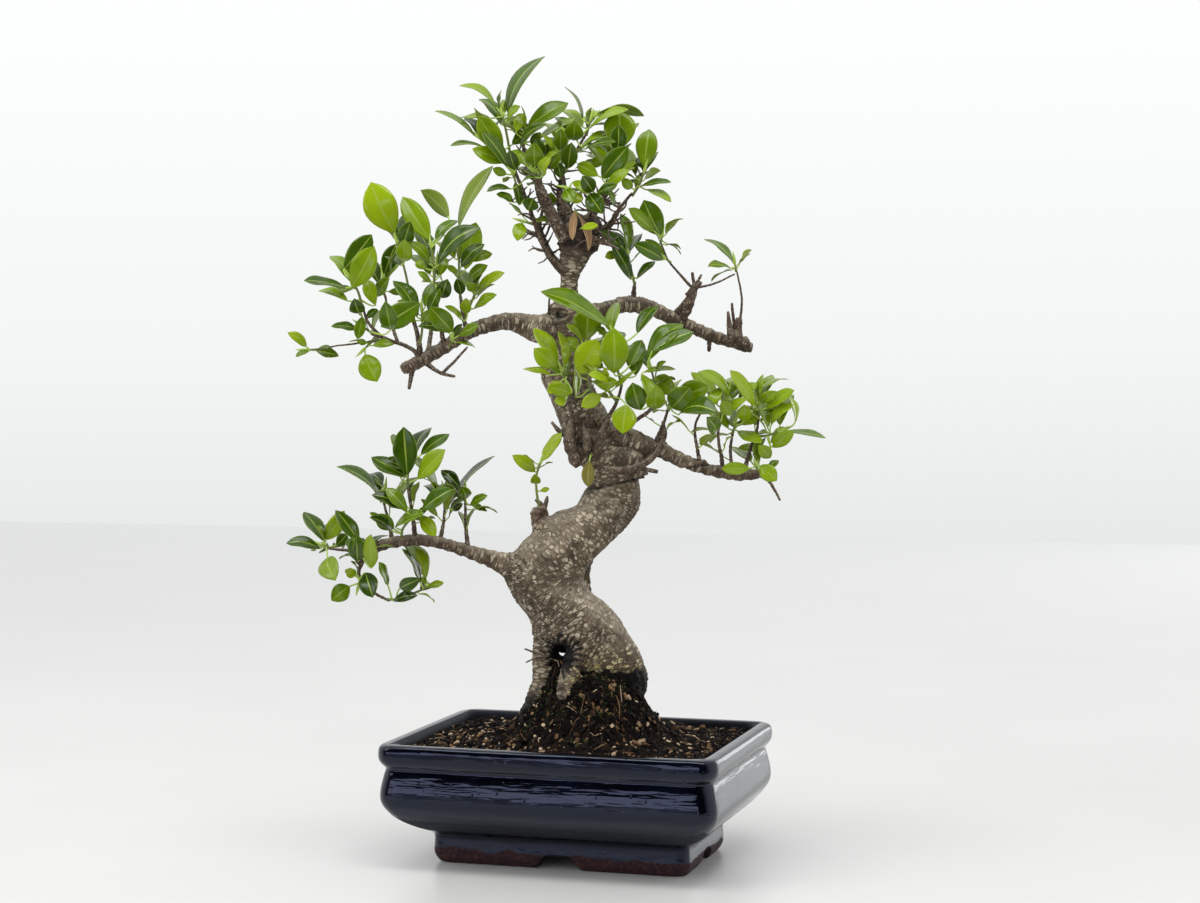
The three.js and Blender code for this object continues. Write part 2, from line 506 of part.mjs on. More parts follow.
// Leafy shoots. Each has the line of its green stem, its leaves and a count of leaves on its far side.
// A leaf is [base x, y, z, tip x, y, z, width as seen from the front]; a negative width shows its underside.
const SHOOTS = {
  lower_left_01: {
    stem: [[-130, -26, 289], [-130, -28, 298], [-128, -28, 309]],
    leaves: [
      [-130, -31, 300, -132, -36, 337, 19],
      [-122, -30, 297, -100, -44, 320, 14],
      [-120, -22, 315, -99, -8, 330, 9],
      [-131, -24, 298, -159, -14, 313, 11],
      [-138, -18, 300, -141, -4, 325, 6],
    ],
    far: 2,
  },
  lower_left_02: {
    stem: [[-150, -10, 276], [-149, -9, 287]],
    leaves: [
      [-152, -12, 278, -185, -22, 306, 5],
      [-143, -12, 274, -125, -2, 298, 8],
    ],
    far: 1,
  },
  lower_left_03: {
    stem: [[-103, -10, 272], [-104, -11, 284]],
    leaves: [
      [-108, -12, 281, -132, -21, 316, 5],
      [-101, -9, 273, -65, 4, 312, 5],
      [-96, -8, 271, -89, -14, 277, 5],
    ],
    far: 2,
  },
  lower_left_04: {
    stem: [[-87, -8, 276], [-87, -9, 284]],
    leaves: [
      [-87, -12, 280, -88, -32, 290, 10],
      [-83, -9, 276, -69, 0, 284, 6],
    ],
    far: 1,
  },
  lower_left_05: {
    stem: [[-136, -19, 250], [-134, -26, 259], [-126, -30, 268]],
    leaves: [
      [-131, -32, 273, -156, -42, 286, 9],
      [-119, -35, 273, -94, -46, 290, 12],
      [-140, -26, 260, -117, -38, 272, 7],
      [-143, -24, 257, -159, -34, 268, 6],
      [-121, -28, 268, -108, -40, 254, 11],
      [-132, -26, 277, -154, -20, 287, 8],
      [-142, -18, 258, -155, -26, 270, 12],
    ],
    far: 1,
  },
  lower_left_06: {
    stem: [[-191, -8, 242], [-199, -7, 245]],
    leaves: [
      [-195, -9, 249, -180, -16, 272, 13],
      [-200, -8, 242, -225, -14, 248, 8],
      [-193, -16, 236, -184, -38, 221, 17],
      [-188, -2, 244, -181, 6, 252, 10],
    ],
    far: 2,
  },
  lower_left_07: {
    stem: [[-170, -14, 233], [-166, -22, 238], [-164, -26, 243]],
    leaves: [
      [-169, -27, 234, -169, -38, 256, 14],
      [-158, -29, 229, -157, -40, 256, 12],
      [-173, -18, 240, -170, -24, 253, 7],
    ],
    far: 1,
  },
  lower_left_08: {
    stem: [[-168, -16, 221], [-169, -22, 215]],
    leaves: [
      [-176, -22, 214, -188, -36, 205, 14],
      [-163, -27, 225, -156, -45, 208, 15],
      [-171, -22, 223, -178, -30, 228, 8],
    ],
  },
  lower_left_09: {
    stem: [[-149, -21, 204], [-138, -23, 204], [-126, -24, 209], [-114, -25, 214]],
    leaves: [
      [-137, -25, 213, -121, -40, 221, 11],
      [-142, -25, 203, -123, -32, 208, 7],
      [-115, -26, 215, -103, -30, 217, 5],
      [-146, -26, 215, -152, -34, 234, 5],
      [-121, -28, 217, -134, -34, 244, 4],
      [-117, -28, 216, -120, -22, 221, 5],
    ],
    far: 1,
  },
  upper_left_01: {
    stem: [[-126, -18, 420], [-130, -19, 450], [-137, -20, 477]],
    leaves: [
      [-139, -21, 485, -156, -27, 523, 26],
      [-132, -24, 475, -125, -42, 492, 13],
      [-131, -26, 463, -129, -46, 479, 13],
    ],
    far: 2,
  },
  upper_left_02: {
    stem: [[-108, -26, 436], [-109, -24, 456], [-111, -22, 473]],
    leaves: [
      [-112, -20, 479, -133, -14, 513, 17],
      [-98, -8, 497, -121, 6, 519, -13],
      [-105, -28, 460, -73, -44, 488, 15],
      [-108, -19, 480, -91, -8, 494, 8],
      [-112, -26, 461, -128, -34, 477, 8],
      [-102, -30, 435, -97, -44, 449, 12],
      [-112, -28, 447, -120, -34, 455, 5],
      [-114, -26, 457, -123, -20, 463, 7],
      [-105, -18, 452, -100, -12, 465, 8],
    ],
    far: 2,
  },
  upper_left_03: {
    stem: [[-90, -2, 434], [-91, 0, 455], [-91, 2, 480]],
    leaves: [
      [-91, 2, 490, -65, 12, 538, 12],
      [-86, -2, 457, -78, 8, 494, 18],
      [-89, -8, 459, -71, -22, 476, 11],
      [-83, -6, 447, -68, -18, 460, 9],
      [-92, -4, 455, -100, -10, 460, 5],
      [-89, -8, 438, -92, -16, 450, 9],
    ],
    far: 2,
  },
  upper_left_04: {
    stem: [[-87, -6, 420], [-82, -6, 430], [-79, -6, 438]],
    leaves: [
      [-77, -7, 441, -55, -14, 454, 8],
      [-79, -10, 427, -62, -22, 438, 7],
      [-85, -14, 423, -84, -28, 434, 9],
      [-80, -8, 440, -82, -14, 447, 8],
      [-87, -18, 417, -100, -26, 429, 4],
    ],
    far: 1,
  },
  upper_left_05: {
    stem: [[-164, -20, 428], [-167, -22, 440], [-172, -24, 449]],
    leaves: [
      [-178, -20, 457, -157, -12, 484, 17],
      [-171, -27, 443, -153, -38, 474, 19],
      [-176, -24, 443, -207, -34, 448, 7],
      [-175, -22, 433, -198, -16, 442, 6],
      [-166, -23, 424, -168, -40, 434, 12],
      [-155, -8, 430, -163, 2, 450, 11],
    ],
    far: 2,
  },
  upper_left_06: {
    stem: [[-150, 10, 438], [-151, 12, 450]],
    leaves: [
      [-157, 4, 437, -144, -10, 451, 10],
      [-150, 12, 454, -141, 18, 478, 13],
    ],
    far: 3,
  },
  upper_left_07: {
    stem: [[-156, -9, 407], [-164, -13, 413]],
    leaves: [
      [-165, -14, 421, -168, -20, 404, 9],
      [-168, -14, 411, -188, -20, 414, 6],
      [-140, -40, 411, -142, -50, 432, 14],
      [-162, -16, 420, -153, -22, 427, 6],
    ],
  },
  upper_left_08: {
    stem: [[-121, -16, 398], [-118, -26, 411], [-118, -28, 424]],
    leaves: [
      [-119, -30, 431, -148, -42, 413, 19],
      [-112, -30, 424, -103, -38, 442, 10],
      [-116, -34, 417, -108, -42, 426, 9],
    ],
    far: 2,
  },
  upper_left_09: {
    stem: [[-99, -14, 396], [-96, -24, 403]],
    leaves: [
      [-95, -27, 409, -111, -40, 428, 16],
      [-90, -25, 406, -74, -34, 414, 8],
      [-98, -24, 409, -120, -32, 414, 7],
    ],
  },
  upper_left_10: {
    stem: [[-158, -9, 402], [-163, -12, 397]],
    leaves: [
      [-163, -13, 392, -153, -20, 371, 18],
      [-162, -12, 401, -169, -18, 403, 5],
    ],
  },
  upper_left_11: {
    stem: [[-201, -4, 396], [-207, -4, 396]],
    leaves: [
      [-207, -5, 395, -217, -9, 391, 4],
    ],
  },
  upper_left_12: {
    stem: [[-112, 16, 428], [-112, 18, 445], [-110, 20, 462]],
    leaves: [],
    far: 5,
  },
  crown_01: {
    stem: [[-50, -6, 542], [-53, -7, 560], [-56, -8, 574]],
    leaves: [
      [-52, -7, 576, -23, -2, 620, 12],
      [-61, -8, 581, -88, -14, 598, 6],
      [-56, -14, 549, -74, -24, 573, 17],
      [-66, -4, 573, -90, 8, 575, 5],
      [-58, -8, 580, -57, -9, 594, 2],
      [-51, -4, 569, -34, 2, 564, 6],
      [-49, -2, 553, -37, 5, 563, 10],
    ],
    far: 2,
  },
  crown_02: {
    stem: [[-46, -8, 528], [-60, -6, 544], [-72, -4, 556]],
    leaves: [
      [-78, -4, 560, -108, -10, 578, 5],
      [-69, -6, 550, -96, -14, 552, 4],
    ],
    far: 2,
  },
  crown_03: {
    stem: [[-37, -9, 507], [-43, -13, 514], [-48, -17, 529]],
    leaves: [
      [-54, -20, 538, -78, -30, 548, 12],
      [-46, -22, 532, -50, -34, 546, 10],
      [-48, -14, 508, -61, -20, 514, 6],
      [-50, -17, 518, -68, -23, 516, 5],
      [-47, -12, 533, -44, -4, 545, 8],
      [-53, -20, 529, -63, -26, 533, 7],
      [-37, -18, 502, -33, -30, 511, 13],
      [-44, -4, 506, -47, 6, 523, 7],
    ],
    far: 1,
  },
  crown_04: {
    stem: [[-32, -8, 491], [-39, -10, 493]],
    leaves: [
      [-42, -12, 492, -45, -24, 478, 11],
    ],
  },
  crown_05: {
    stem: [[-40, -4, 549], [-40, -3, 560]],
    leaves: [
      [-37, -3, 566, -6, 6, 586, 14],
      [-43, -8, 549, -22, -20, 566, 7],
      [-29, -1, 557, 0, 8, 575, 7],
      [-46, -6, 562, -40, 8, 577, 10],
      [-34, -6, 552, -27, -14, 561, 8],
    ],
    far: 1,
  },
  crown_06: {
    stem: [[-11, 6, 527], [-17, -2, 536], [-15, -6, 544]],
    leaves: [
      [-12, -9, 548, -11, -26, 563, 11],
      [-6, -11, 534, -3, -32, 552, 13],
      [-21, -8, 534, -12, -22, 544, 9],
      [-18, 0, 540, -21, 4, 555, 11],
      [-12, -8, 527, -14, -14, 539, 9],
    ],
    far: 2,
  },
  crown_07: {
    stem: [[-30, -12, 523], [-33, -18, 531]],
    leaves: [
      [-31, -20, 535, -31, -38, 551, 15],
      [-25, -20, 527, -19, -28, 540, 8],
    ],
    far: 1,
  },
  crown_08: {
    stem: [[8, 5, 560], [11, 5, 571]],
    leaves: [
      [5, 6, 573, -8, 14, 599, 3],
      [11, 3, 566, 40, -7, 580, 7],
      [16, 6, 577, 53, 16, 577, -6],
      [-2, -2, 556, 0, -16, 569, 15],
    ],
    far: 3,
  },
  crown_09: {
    stem: [[0, 5, 547], [5, -2, 551]],
    leaves: [
      [7, -5, 549, 31, -16, 553, 6],
      [8, 0, 554, 28, 8, 562, 6],
    ],
    far: 1,
  },
  crown_10: {
    stem: [[26, -12, 514], [28, -11, 524], [31, -8, 536]],
    leaves: [
      [20, -15, 526, 40, -26, 549, 17],
      [24, -17, 521, 40, -30, 531, 9],
      [34, -4, 549, 34, 4, 579, 25],
      [32, -8, 545, 33, -13, 567, 13],
      [17, -10, 528, 1, -2, 538, 11],
      [21, -16, 521, 29, -26, 505, 4],
      [37, -6, 533, 46, 2, 540, 5],
      [23, 0, 540, 11, 6, 538, 8],
    ],
    far: 2,
  },
  crown_11: {
    stem: [[43, 2, 513], [49, 1, 522], [52, 0, 531]],
    leaves: [
      [53, 0, 535, 57, 4, 565, 17],
      [49, -2, 520, 73, -9, 523, 5],
      [53, -2, 518, 73, -12, 508, 6],
      [46, 6, 520, 56, 16, 533, 5],
      [43, -2, 519, 35, -10, 526, 8],
    ],
    far: 3,
  },
  crown_12: {
    stem: [[19, -10, 505], [13, -19, 512], [4, -22, 516], [-5, -21, 518]],
    leaves: [
      [10, -24, 513, 20, -36, 498, 14],
      [-2, -20, 523, 9, -32, 514, 8],
      [-8, -22, 517, -2, -36, 506, 11],
      [16, -22, 514, 31, -32, 520, 8],
      [13, -24, 515, 5, -34, 526, 12],
      [4, -26, 513, -2, -34, 506, 9],
    ],
  },
  crown_13: {
    stem: [[-10, 40, 529], [-12, 42, 545], [-12, 43, 557]],
    leaves: [],
    far: 5,
  },
  crown_14: {
    stem: [[22, 34, 519], [25, 36, 534], [26, 37, 547]],
    leaves: [],
    far: 5,
  },
  crown_15: {
    stem: [[-26, 8, 503], [-28, 12, 518], [-29, 14, 531]],
    leaves: [
      [-27, 6, 543, -31, -2, 556, 11],
      [-20, 2, 507, -19, -6, 516, 9],
    ],
    far: 5,
  },
  upper_right_01: {
    stem: [[65, 6, 476], [66, 6, 481]],
    leaves: [
      [65, 5, 483, 52, -2, 510, 19],
      [60, 2, 486, 40, -8, 503, 11],
    ],
    far: 1,
  },
  upper_right_02: {
    stem: [[73, 9, 462], [69, 6, 465]],
    leaves: [
      [67, 4, 464, 44, -8, 476, 12],
    ],
  },
  upper_right_03: {
    stem: [[45, 14, 445], [42, 12, 458], [40, 10, 468]],
    leaves: [
      [39, 9, 472, 35, 4, 500, 9],
      [42, 10, 449, 27, 0, 476, 11],
      [47, 15, 450, 61, 22, 464, 6],
      [34, 8, 475, 19, 2, 486, 9],
      [30, 6, 469, 22, 0, 466, 7],
    ],
    far: 2,
  },
  upper_right_04: {
    stem: [[125, 28, 455], [124, 27, 461]],
    leaves: [
      [123, 29, 462, 101, 36, 482, 6],
      [120, 24, 458, 102, 14, 459, 5],
    ],
  },
  middle_01: {
    stem: [[-8, -40, 369], [-11, -43, 378]],
    leaves: [
      [-15, -45, 382, -32, -53, 396, 15],
      [-10, -47, 381, -13, -49, 409, 7],
      [-20, -42, 376, -41, -34, 380, 4],
      [-4, -48, 362, -21, -58, 367, 11],
      [-12, -44, 371, -22, -50, 362, 9],
      [-8, -42, 358, -17, -48, 356, 9],
    ],
    far: 1,
    tone: 'young',
  },
  middle_02: {
    stem: [[12, -36, 359], [8, -40, 372], [6, -36, 390]],
    leaves: [
      [1, -46, 377, 16, -52, 402, 22],
      [7, -33, 402, 8, -28, 427, 22],
      [4, -38, 401, -8, -30, 414, 5],
      [-1, -44, 359, -2, -46, 389, 5],
    ],
    far: 1,
    tone: 'young',
  },
  middle_03: {
    stem: [[34, -34, 367], [30, -36, 384], [27, -36, 404]],
    leaves: [
      [25, -38, 412, -25, -52, 441, 13],
      [28, -46, 377, 28, -52, 411, 22],
      [46, -28, 407, 62, -18, 429, 9],
      [40, -30, 382, 50, -18, 402, 13],
      [20, -30, 381, 10, -26, 387, 9],
      [45, -24, 375, 42, -18, 398, 14],
    ],
    far: 2,
  },
  middle_04: {
    stem: [[30, -31, 355], [24, -40, 364]],
    leaves: [
      [16, -45, 368, 31, -52, 371, 10],
      [22, -46, 369, 21, -58, 381, 7],
      [37, -44, 353, 34, -54, 332, 19],
      [18, -44, 361, 3, -56, 352, 11],
      [24, -48, 370, 9, -56, 377, 6],
    ],
    far: 1,
    tone: 'young',
  },
  middle_05: {
    stem: [[63, -24, 354], [60, -28, 366], [57, -30, 378]],
    leaves: [
      [54, -30, 386, 81, -22, 415, 14],
      [49, -36, 376, 57, -48, 355, 9],
      [52, -34, 378, 75, -30, 380, 4],
      [60, -38, 350, 60, -54, 367, 15],
      [48, -34, 349, 42, -42, 370, 17],
      [57, -36, 393, 89, -28, 408, 12],
    ],
    far: 1,
  },
  middle_06: {
    stem: [[70, -18, 347], [71, -19, 356]],
    leaves: [
      [72, -26, 350, 86, -42, 366, 20],
      [77, -20, 359, 100, -32, 367, 19],
      [76, -22, 360, 58, -12, 373, 15],
      [77, -26, 345, 104, -44, 349, 11],
    ],
    far: 2,
  },
  middle_07: {
    stem: [[12, 42, 381], [14, 46, 394]],
    leaves: [],
    far: 5,
  },
  right_01: {
    stem: [[110, -20, 343], [114, -20, 355]],
    leaves: [
      [117, -21, 359, 93, -29, 378, 9],
      [110, -25, 365, 99, -38, 350, 9],
      [118, -22, 356, 127, -16, 370, 7],
      [124, -16, 357, 139, -6, 368, 8],
      [117, -26, 344, 110, -34, 355, 10],
      [106, -20, 332, 97, -28, 344, 13],
    ],
    far: 3,
  },
  right_02: {
    stem: [[140, -8, 343], [139, -8, 351]],
    leaves: [
      [141, -10, 354, 153, -22, 362, 9],
      [135, -6, 356, 163, 4, 372, 4],
      [145, -14, 349, 166, -26, 363, 9],
    ],
    far: 2,
  },
  right_03: {
    stem: [[137, -8, 327], [147, -12, 328], [154, -12, 331]],
    leaves: [
      [149, -14, 336, 165, -24, 352, 7],
      [150, -17, 319, 165, -30, 332, 11],
      [168, -10, 338, 160, -4, 361, 5],
      [160, -11, 331, 191, -17, 327, 4],
      [149, -10, 322, 162, -2, 334, 9],
      [148, -16, 311, 138, -26, 321, 10],
    ],
    far: 2,
  },
  right_04: {
    stem: [[139, -11, 300], [137, -18, 305]],
    leaves: [
      [132, -18, 303, 110, -26, 303, 10],
      [140, -18, 305, 152, -28, 294, 13],
      [146, -16, 301, 155, -10, 309, 5],
    ],
    far: 1,
  },
  right_05: {
    stem: [[120, 2, 327], [122, 2, 336]],
    leaves: [
      [124, 0, 331, 141, -18, 322, 9],
      [128, -10, 339, 128, -20, 352, 12],
    ],
    far: 4,
  },
  trunk_sprout: {
    stem: [[-30, -9, 272], [-32, -10, 286], [-32, -10, 298], [-29, -10, 307]],
    leaves: [
      [-33, -11, 301, -50, -18, 314, 10],
      [-28, -10, 309, -12, -16, 331, 9],
      [-32, -14, 292, -33, -28, 300, 8],
      [-29, -11, 286, -22, -13, 288, 4],
    ],
    tone: 'young',
  },
  trunk_leaf: {
    stem: [[14, -17, 318], [10, -27, 314]],
    leaves: [
      [9, -28, 310, 8, -31, 290, 10],
    ],
    tone: 'olive',
  },
  dead_leaf: {
    stem: [[1, -8, 492], [0, -20, 500]],
    leaves: [
      [-1, -21, 501, -3, -27, 478, 9],
      [1, -22, 498, 9, -26, 470, 7],
    ],
    tone: 'dead',
  },
};

// Leaves on the far side of a shoot: their turn round the stem and how much it strays, their length
// and petiole, the lowest place on the stem's last stretch, how they head sideways, away and upwards,
// and the share of the length that shows as width
const GOLDEN_ANGLE = 137.5;
const FAR_STRAY = 50;
const FAR_LENGTH = 32;
const FAR_PETIOLE = 7;
const FAR_LOWEST = 0.3;
const FAR_SPREAD = 0.65;
const FAR_AWAY = 0.4;
const FAR_RISE = 0.35;
const FAR_SHOWN = 0.3;

// Tries, in turn, how far a leaf slides along the line of sight so that it clears what is round it
const SLIDES = [0, -4, 4, -8, 8, -12, 12, -16, 16, -20, 20, -25, 25, -30, 30];
const BASE_SLIDE = 0.4;

// Blade outline: [share of the length, share of the half width]; shorter leaves need fewer stations
const BLADE = [[0.2, 0.76], [0.5, 1], [0.79, 0.7]];
const SMALL_BLADE = [[0.3, 0.95], [0.68, 0.92]];
const TINY_BLADE = [[0.5, 1]];
const SMALL_LENGTH = 36;
const TINY_LENGTH = 26;

// Where the petiole leaves the stem, past the middle of the stem's first stretch: a point that is
// near the blade's base and behind it
function footOnStem(stem, base, along) {
  let best = null;
  let leastCost = Infinity;
  for (let k = 0; k + 1 < stem.length; k += 1) {
    const start = new THREE.Vector3(...stem[k]);
    const end = new THREE.Vector3(...stem[k + 1]);
    for (let step = k === 0 ? 5 : 0; step <= 10; step += 1) {
      const point = start.clone().lerp(end, step / 10);
      const petiole = base.clone().sub(point);
      const cost = 2 * petiole.length() - petiole.dot(along);
      if (cost < leastCost) {
        leastCost = cost;
        best = point;
      }
    }
  }
  return best;
}

function leafSolid(stem, leaf, slide, guard = 0, bladeOnly = false) {
  const [bx, by, bz, tx, ty, tz, shown] = leaf;
  const base = new THREE.Vector3(bx, by + slide * BASE_SLIDE, bz);
  const tip = new THREE.Vector3(tx, ty + slide, tz);
  const length = base.distanceTo(tip);
  const along = tip.clone().sub(base).normalize();
  const toViewer = new THREE.Vector3(0, -1, 0);
  const facing = toViewer.addScaledVector(along, -toViewer.dot(along)).normalize();
  const turnedUp = along.clone().cross(facing);
  if (turnedUp.z < 0) turnedUp.negate();
  const width = Math.max(Math.abs(shown), LEAF_ASPECT * length);
  const show = Math.abs(shown) / width;
  const upper = facing.multiplyScalar(show * (shown < 0 ? -1 : 1))
    .addScaledVector(turnedUp, Math.sqrt(1 - show * show)).normalize();
  const side = along.clone().cross(upper);

  const place = (share, across, up) => {
    const arch = LEAF_ARCH * length * 4 * share * (1 - share);
    const point = base.clone().addScaledVector(along, share * length)
      .addScaledVector(side, across).addScaledVector(upper, up + arch);
    return [point.x, point.y, point.z];
  };
  // Rings of four corners (upper, right, lower, left) from the stem to the last station, then the tip
  const foot = footOnStem(stem, base, along);
  const petiole = base.clone().sub(foot).normalize();
  const bend = petiole.clone().add(along).normalize();
  const rings = (bladeOnly ? [[base, along]] : [[foot, petiole], [base, bend]]).map(([centre, heading]) => {
    const turn = new THREE.Quaternion().setFromUnitVectors(along, heading);
    const reach = PETIOLE_RADIUS + guard;
    return [[upper, reach], [side, reach], [upper, -reach], [side, -reach]].map(([direction, amount]) => (
      [...centre.clone().addScaledVector(direction.clone().applyQuaternion(turn), amount)]));
  });
  const blade = length < TINY_LENGTH ? TINY_BLADE : length < SMALL_LENGTH ? SMALL_BLADE : BLADE;
  for (const [share, part] of blade) {
    const reach = width / 2 * part + guard;
    const half = LEAF_THICKNESS / 2 + guard;
    const lift = LEAF_FOLD * reach;
    rings.push([
      place(share, 0, half), place(share, reach, lift), place(share, 0, -half), place(share, -reach, lift),
    ]);
  }
  const vertices = [...rings.flat(), place(1, 0, 0)];
  const triangles = [[0, 3, 2], [0, 2, 1]];
  for (let ring = 0; ring + 1 < rings.length; ring += 1) {
    for (let k = 0; k < 4; k += 1) {
      const [a, b] = [4 * ring + k, 4 * ring + (k + 1) % 4];
      const [d, c] = [a + 4, b + 4];
      triangles.push(...(k % 2 ? [[a, b, d], [b, c, d]] : [[a, b, c], [a, c, d]]));
    }
  }
  const [last, tipVertex] = [4 * (rings.length - 1), 4 * rings.length];
  for (let k = 0; k < 4; k += 1) {
    triangles.push([last + k, last + (k + 1) % 4, tipVertex]);
  }
  return solidOf(meshGeometry(vertices, triangles));
}

// Leaves on the far side of a shoot, set round its stem by the golden angle
function farLeaves(stem, count, seed) {
  const leaves = [];
  const top = new THREE.Vector3(...stem[stem.length - 1]);
  const low = new THREE.Vector3(...stem[stem.length - 2]);
  for (let k = 0; k < count; k += 1) {
    const height = count > 1 ? k / (count - 1) : 1;
    const foot = low.clone().lerp(top, FAR_LOWEST + (1 - FAR_LOWEST) * height);
    const bearing = THREE.MathUtils.degToRad(GOLDEN_ANGLE * (k + 1) + FAR_STRAY * draw(seed + 3 * k));
    const away = FAR_AWAY + Math.abs(Math.sin(bearing));
    const rise = FAR_RISE * (1 + 2 * draw(seed + 3 * k + 1));
    const heading = new THREE.Vector3(FAR_SPREAD * Math.cos(bearing), away, rise).normalize();
    const length = FAR_LENGTH * (0.8 + 0.4 * draw(seed + 3 * k + 2));
    const base = foot.clone().addScaledVector(heading, FAR_PETIOLE);
    const tip = base.clone().addScaledVector(heading, length);
    leaves.push([...base, ...tip, FAR_SHOWN * length]);
  }
  return leaves;
}

function apart(a, b) {
  const boxA = a.boundingBox();
  const boxB = b.boundingBox();
  for (let axis = 0; axis < 3; axis += 1) {
    if (boxA.max[axis] < boxB.min[axis] || boxB.max[axis] < boxA.min[axis]) return true;
  }
  return a.intersect(b).isEmpty();
}

function buildShoots(woodClear) {
  const shoots = [];
  const names = Object.keys(SHOOTS);
  for (const name of names) {
    const { stem, leaves, far = 0 } = SHOOTS[name];
    const line = stem.map((point, k) => [...point, STEM_RADIUS * (1 - STEM_TAPER * k / (stem.length - 1))]);
    const seed = 100 * (names.indexOf(name) + 1);
    const solid = limb(line, STEM_SIDES);
    shoots.push({ name, stem, leaves: [...leaves, ...farLeaves(stem, far, seed)], parts: [solid] });
  }
  for (const shoot of shoots) {
    const others = shoots.filter((other) => other !== shoot);
    const blades = [];
    for (const leaf of shoot.leaves) {
      const clearOfOthers = (step) => {
        const guarded = leafSolid(shoot.stem, leaf, step, CLEARANCE);
        return apart(guarded, woodClear)
          && others.every(({ parts }) => parts.every((part) => apart(guarded, part)));
      };
      const clearOfOwn = (step) => {
        const blade = leafSolid(shoot.stem, leaf, step, 0, true);
        return blades.every((other) => apart(blade, other));
      };
      const slide = SLIDES.find((step) => clearOfOwn(step) && clearOfOthers(step))
        ?? SLIDES.find(clearOfOthers);
      if (slide === undefined) throw new Error(`no room for a leaf of ${shoot.name}: ${leaf}`);
      shoot.parts.push(leafSolid(shoot.stem, leaf, slide));
      blades.push(leafSolid(shoot.stem, leaf, slide, 0, true));
    }
  }
  return shoots.map(({ name, parts }) => ({
    name,
    solid: largestBody(Manifold.union(parts).subtract(woodClear).asOriginal().simplify(SIMPLIFY)),
  }));
}

// Assembly

const bonsai = new THREE.Group();
const plant = new THREE.Group();
plant.rotation.z = PLANT_TURN;
bonsai.add(plant);

function addMesh(group, name, solid, material) {
  const mesh = new THREE.Mesh(geometryOf(solid), material);
  mesh.name = name;
  group.add(mesh);
}

const wood = buildWood();
const woodClear = buildWood(GAP);
const drainMeshes = [-1, 1].map(buildDrainMesh);
addMesh(bonsai, 'pot', buildPot(), MATERIALS.glaze);
addMesh(bonsai, 'drain_mesh_left', drainMeshes[0], MATERIALS.plastic);
addMesh(bonsai, 'drain_mesh_right', drainMeshes[1], MATERIALS.plastic);
const rootRoom = buildWood(SOIL_ROOM).rotate([0, 0, THREE.MathUtils.radToDeg(PLANT_TURN)]);
addMesh(bonsai, 'soil', buildSoil(rootRoom, drainMeshes), MATERIALS.soil);
addMesh(plant, 'tree', wood, MATERIALS.bark);
for (const { name, solid } of buildShoots(woodClear)) {
  addMesh(plant, name, solid, MATERIALS[SHOOTS[name].tone ?? 'leaf']);
}

// The origin is the middle of the part's footprint, on the ground
const box = new THREE.Box3().setFromObject(bonsai, true);
bonsai.position.set(-(box.min.x + box.max.x) / 2, -(box.min.y + box.max.y) / 2, -box.min.z);

export default bonsai;
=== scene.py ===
# %% [markdown]
# # A banyan bonsai in a glazed pot
#
# A small fig tree with a swinging trunk stands on its bared roots in a low rectangular pot. The solids
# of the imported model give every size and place. This lesson gives each of them the surface of the real
# thing: bark, leaves, glaze and potting soil.

import math
import random

import bpy
import numpy as np
from mathutils import Matrix, Quaternion, Vector, noise
from mathutils.bvhtree import BVHTree
from mathutils.kdtree import KDTree


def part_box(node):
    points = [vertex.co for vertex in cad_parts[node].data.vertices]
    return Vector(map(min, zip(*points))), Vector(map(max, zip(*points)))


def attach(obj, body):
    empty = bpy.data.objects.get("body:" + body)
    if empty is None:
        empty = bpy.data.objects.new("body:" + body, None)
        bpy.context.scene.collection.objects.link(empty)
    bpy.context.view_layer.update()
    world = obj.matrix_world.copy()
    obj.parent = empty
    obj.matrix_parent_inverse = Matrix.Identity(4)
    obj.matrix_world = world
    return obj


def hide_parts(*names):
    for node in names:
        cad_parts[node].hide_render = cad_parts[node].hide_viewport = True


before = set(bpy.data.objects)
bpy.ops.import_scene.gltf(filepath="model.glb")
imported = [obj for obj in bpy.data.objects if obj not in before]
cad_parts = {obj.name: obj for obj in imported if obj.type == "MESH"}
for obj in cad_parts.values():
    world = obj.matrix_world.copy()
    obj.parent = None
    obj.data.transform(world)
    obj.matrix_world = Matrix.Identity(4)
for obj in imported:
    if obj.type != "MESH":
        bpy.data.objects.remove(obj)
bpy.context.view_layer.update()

# %% [markdown]
# ## Frames and small helpers
#
# Everything is modelled in millimetres round the middle of the pot and is brought to metres and to its
# place at the end. The plant has its own frame: its front is turned from the pot's front by 17.5 degrees.

# %% Frames
MM = 0.001
PLANT_TURN = math.radians(17.5)
pot_low, pot_high = (Vector(corner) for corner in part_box("pot"))
pot_middle = Vector(((pot_low.x + pot_high.x) / 2, (pot_low.y + pot_high.y) / 2, 0))
POT_FRAME = Matrix.Translation(pot_middle) @ Matrix.Scale(MM, 4)
PLANT_FRAME = POT_FRAME @ Matrix.Rotation(PLANT_TURN, 4, "Z")
print("pot middle", tuple(round(value, 4) for value in pot_middle))


# %% Small helpers
def deselect():
    """Leaves edit mode and selects nothing."""
    if bpy.context.object and bpy.context.object.mode != "OBJECT":
        bpy.ops.object.mode_set(mode="OBJECT")
    bpy.ops.object.select_all(action="DESELECT")


def pick(*objects):
    """Selects these objects, the last one active."""
    deselect()
    for thing in objects:
        thing.select_set(True)
    bpy.context.view_layer.objects.active = objects[-1]
    return objects[-1]


def join(objects, name):
    """Makes one object of several."""
    whole = pick(*objects)
    if len(objects) > 1:
        bpy.ops.object.join()
    whole.name = whole.data.name = name
    return whole


def modify(piece, kind, **settings):
    """Adds a modifier with its settings and applies it."""
    pick(piece)
    modifier = piece.modifiers.new(kind.title(), kind)
    for key, value in settings.items():
        setattr(modifier, key, value)
    bpy.ops.object.modifier_apply(modifier=modifier.name)


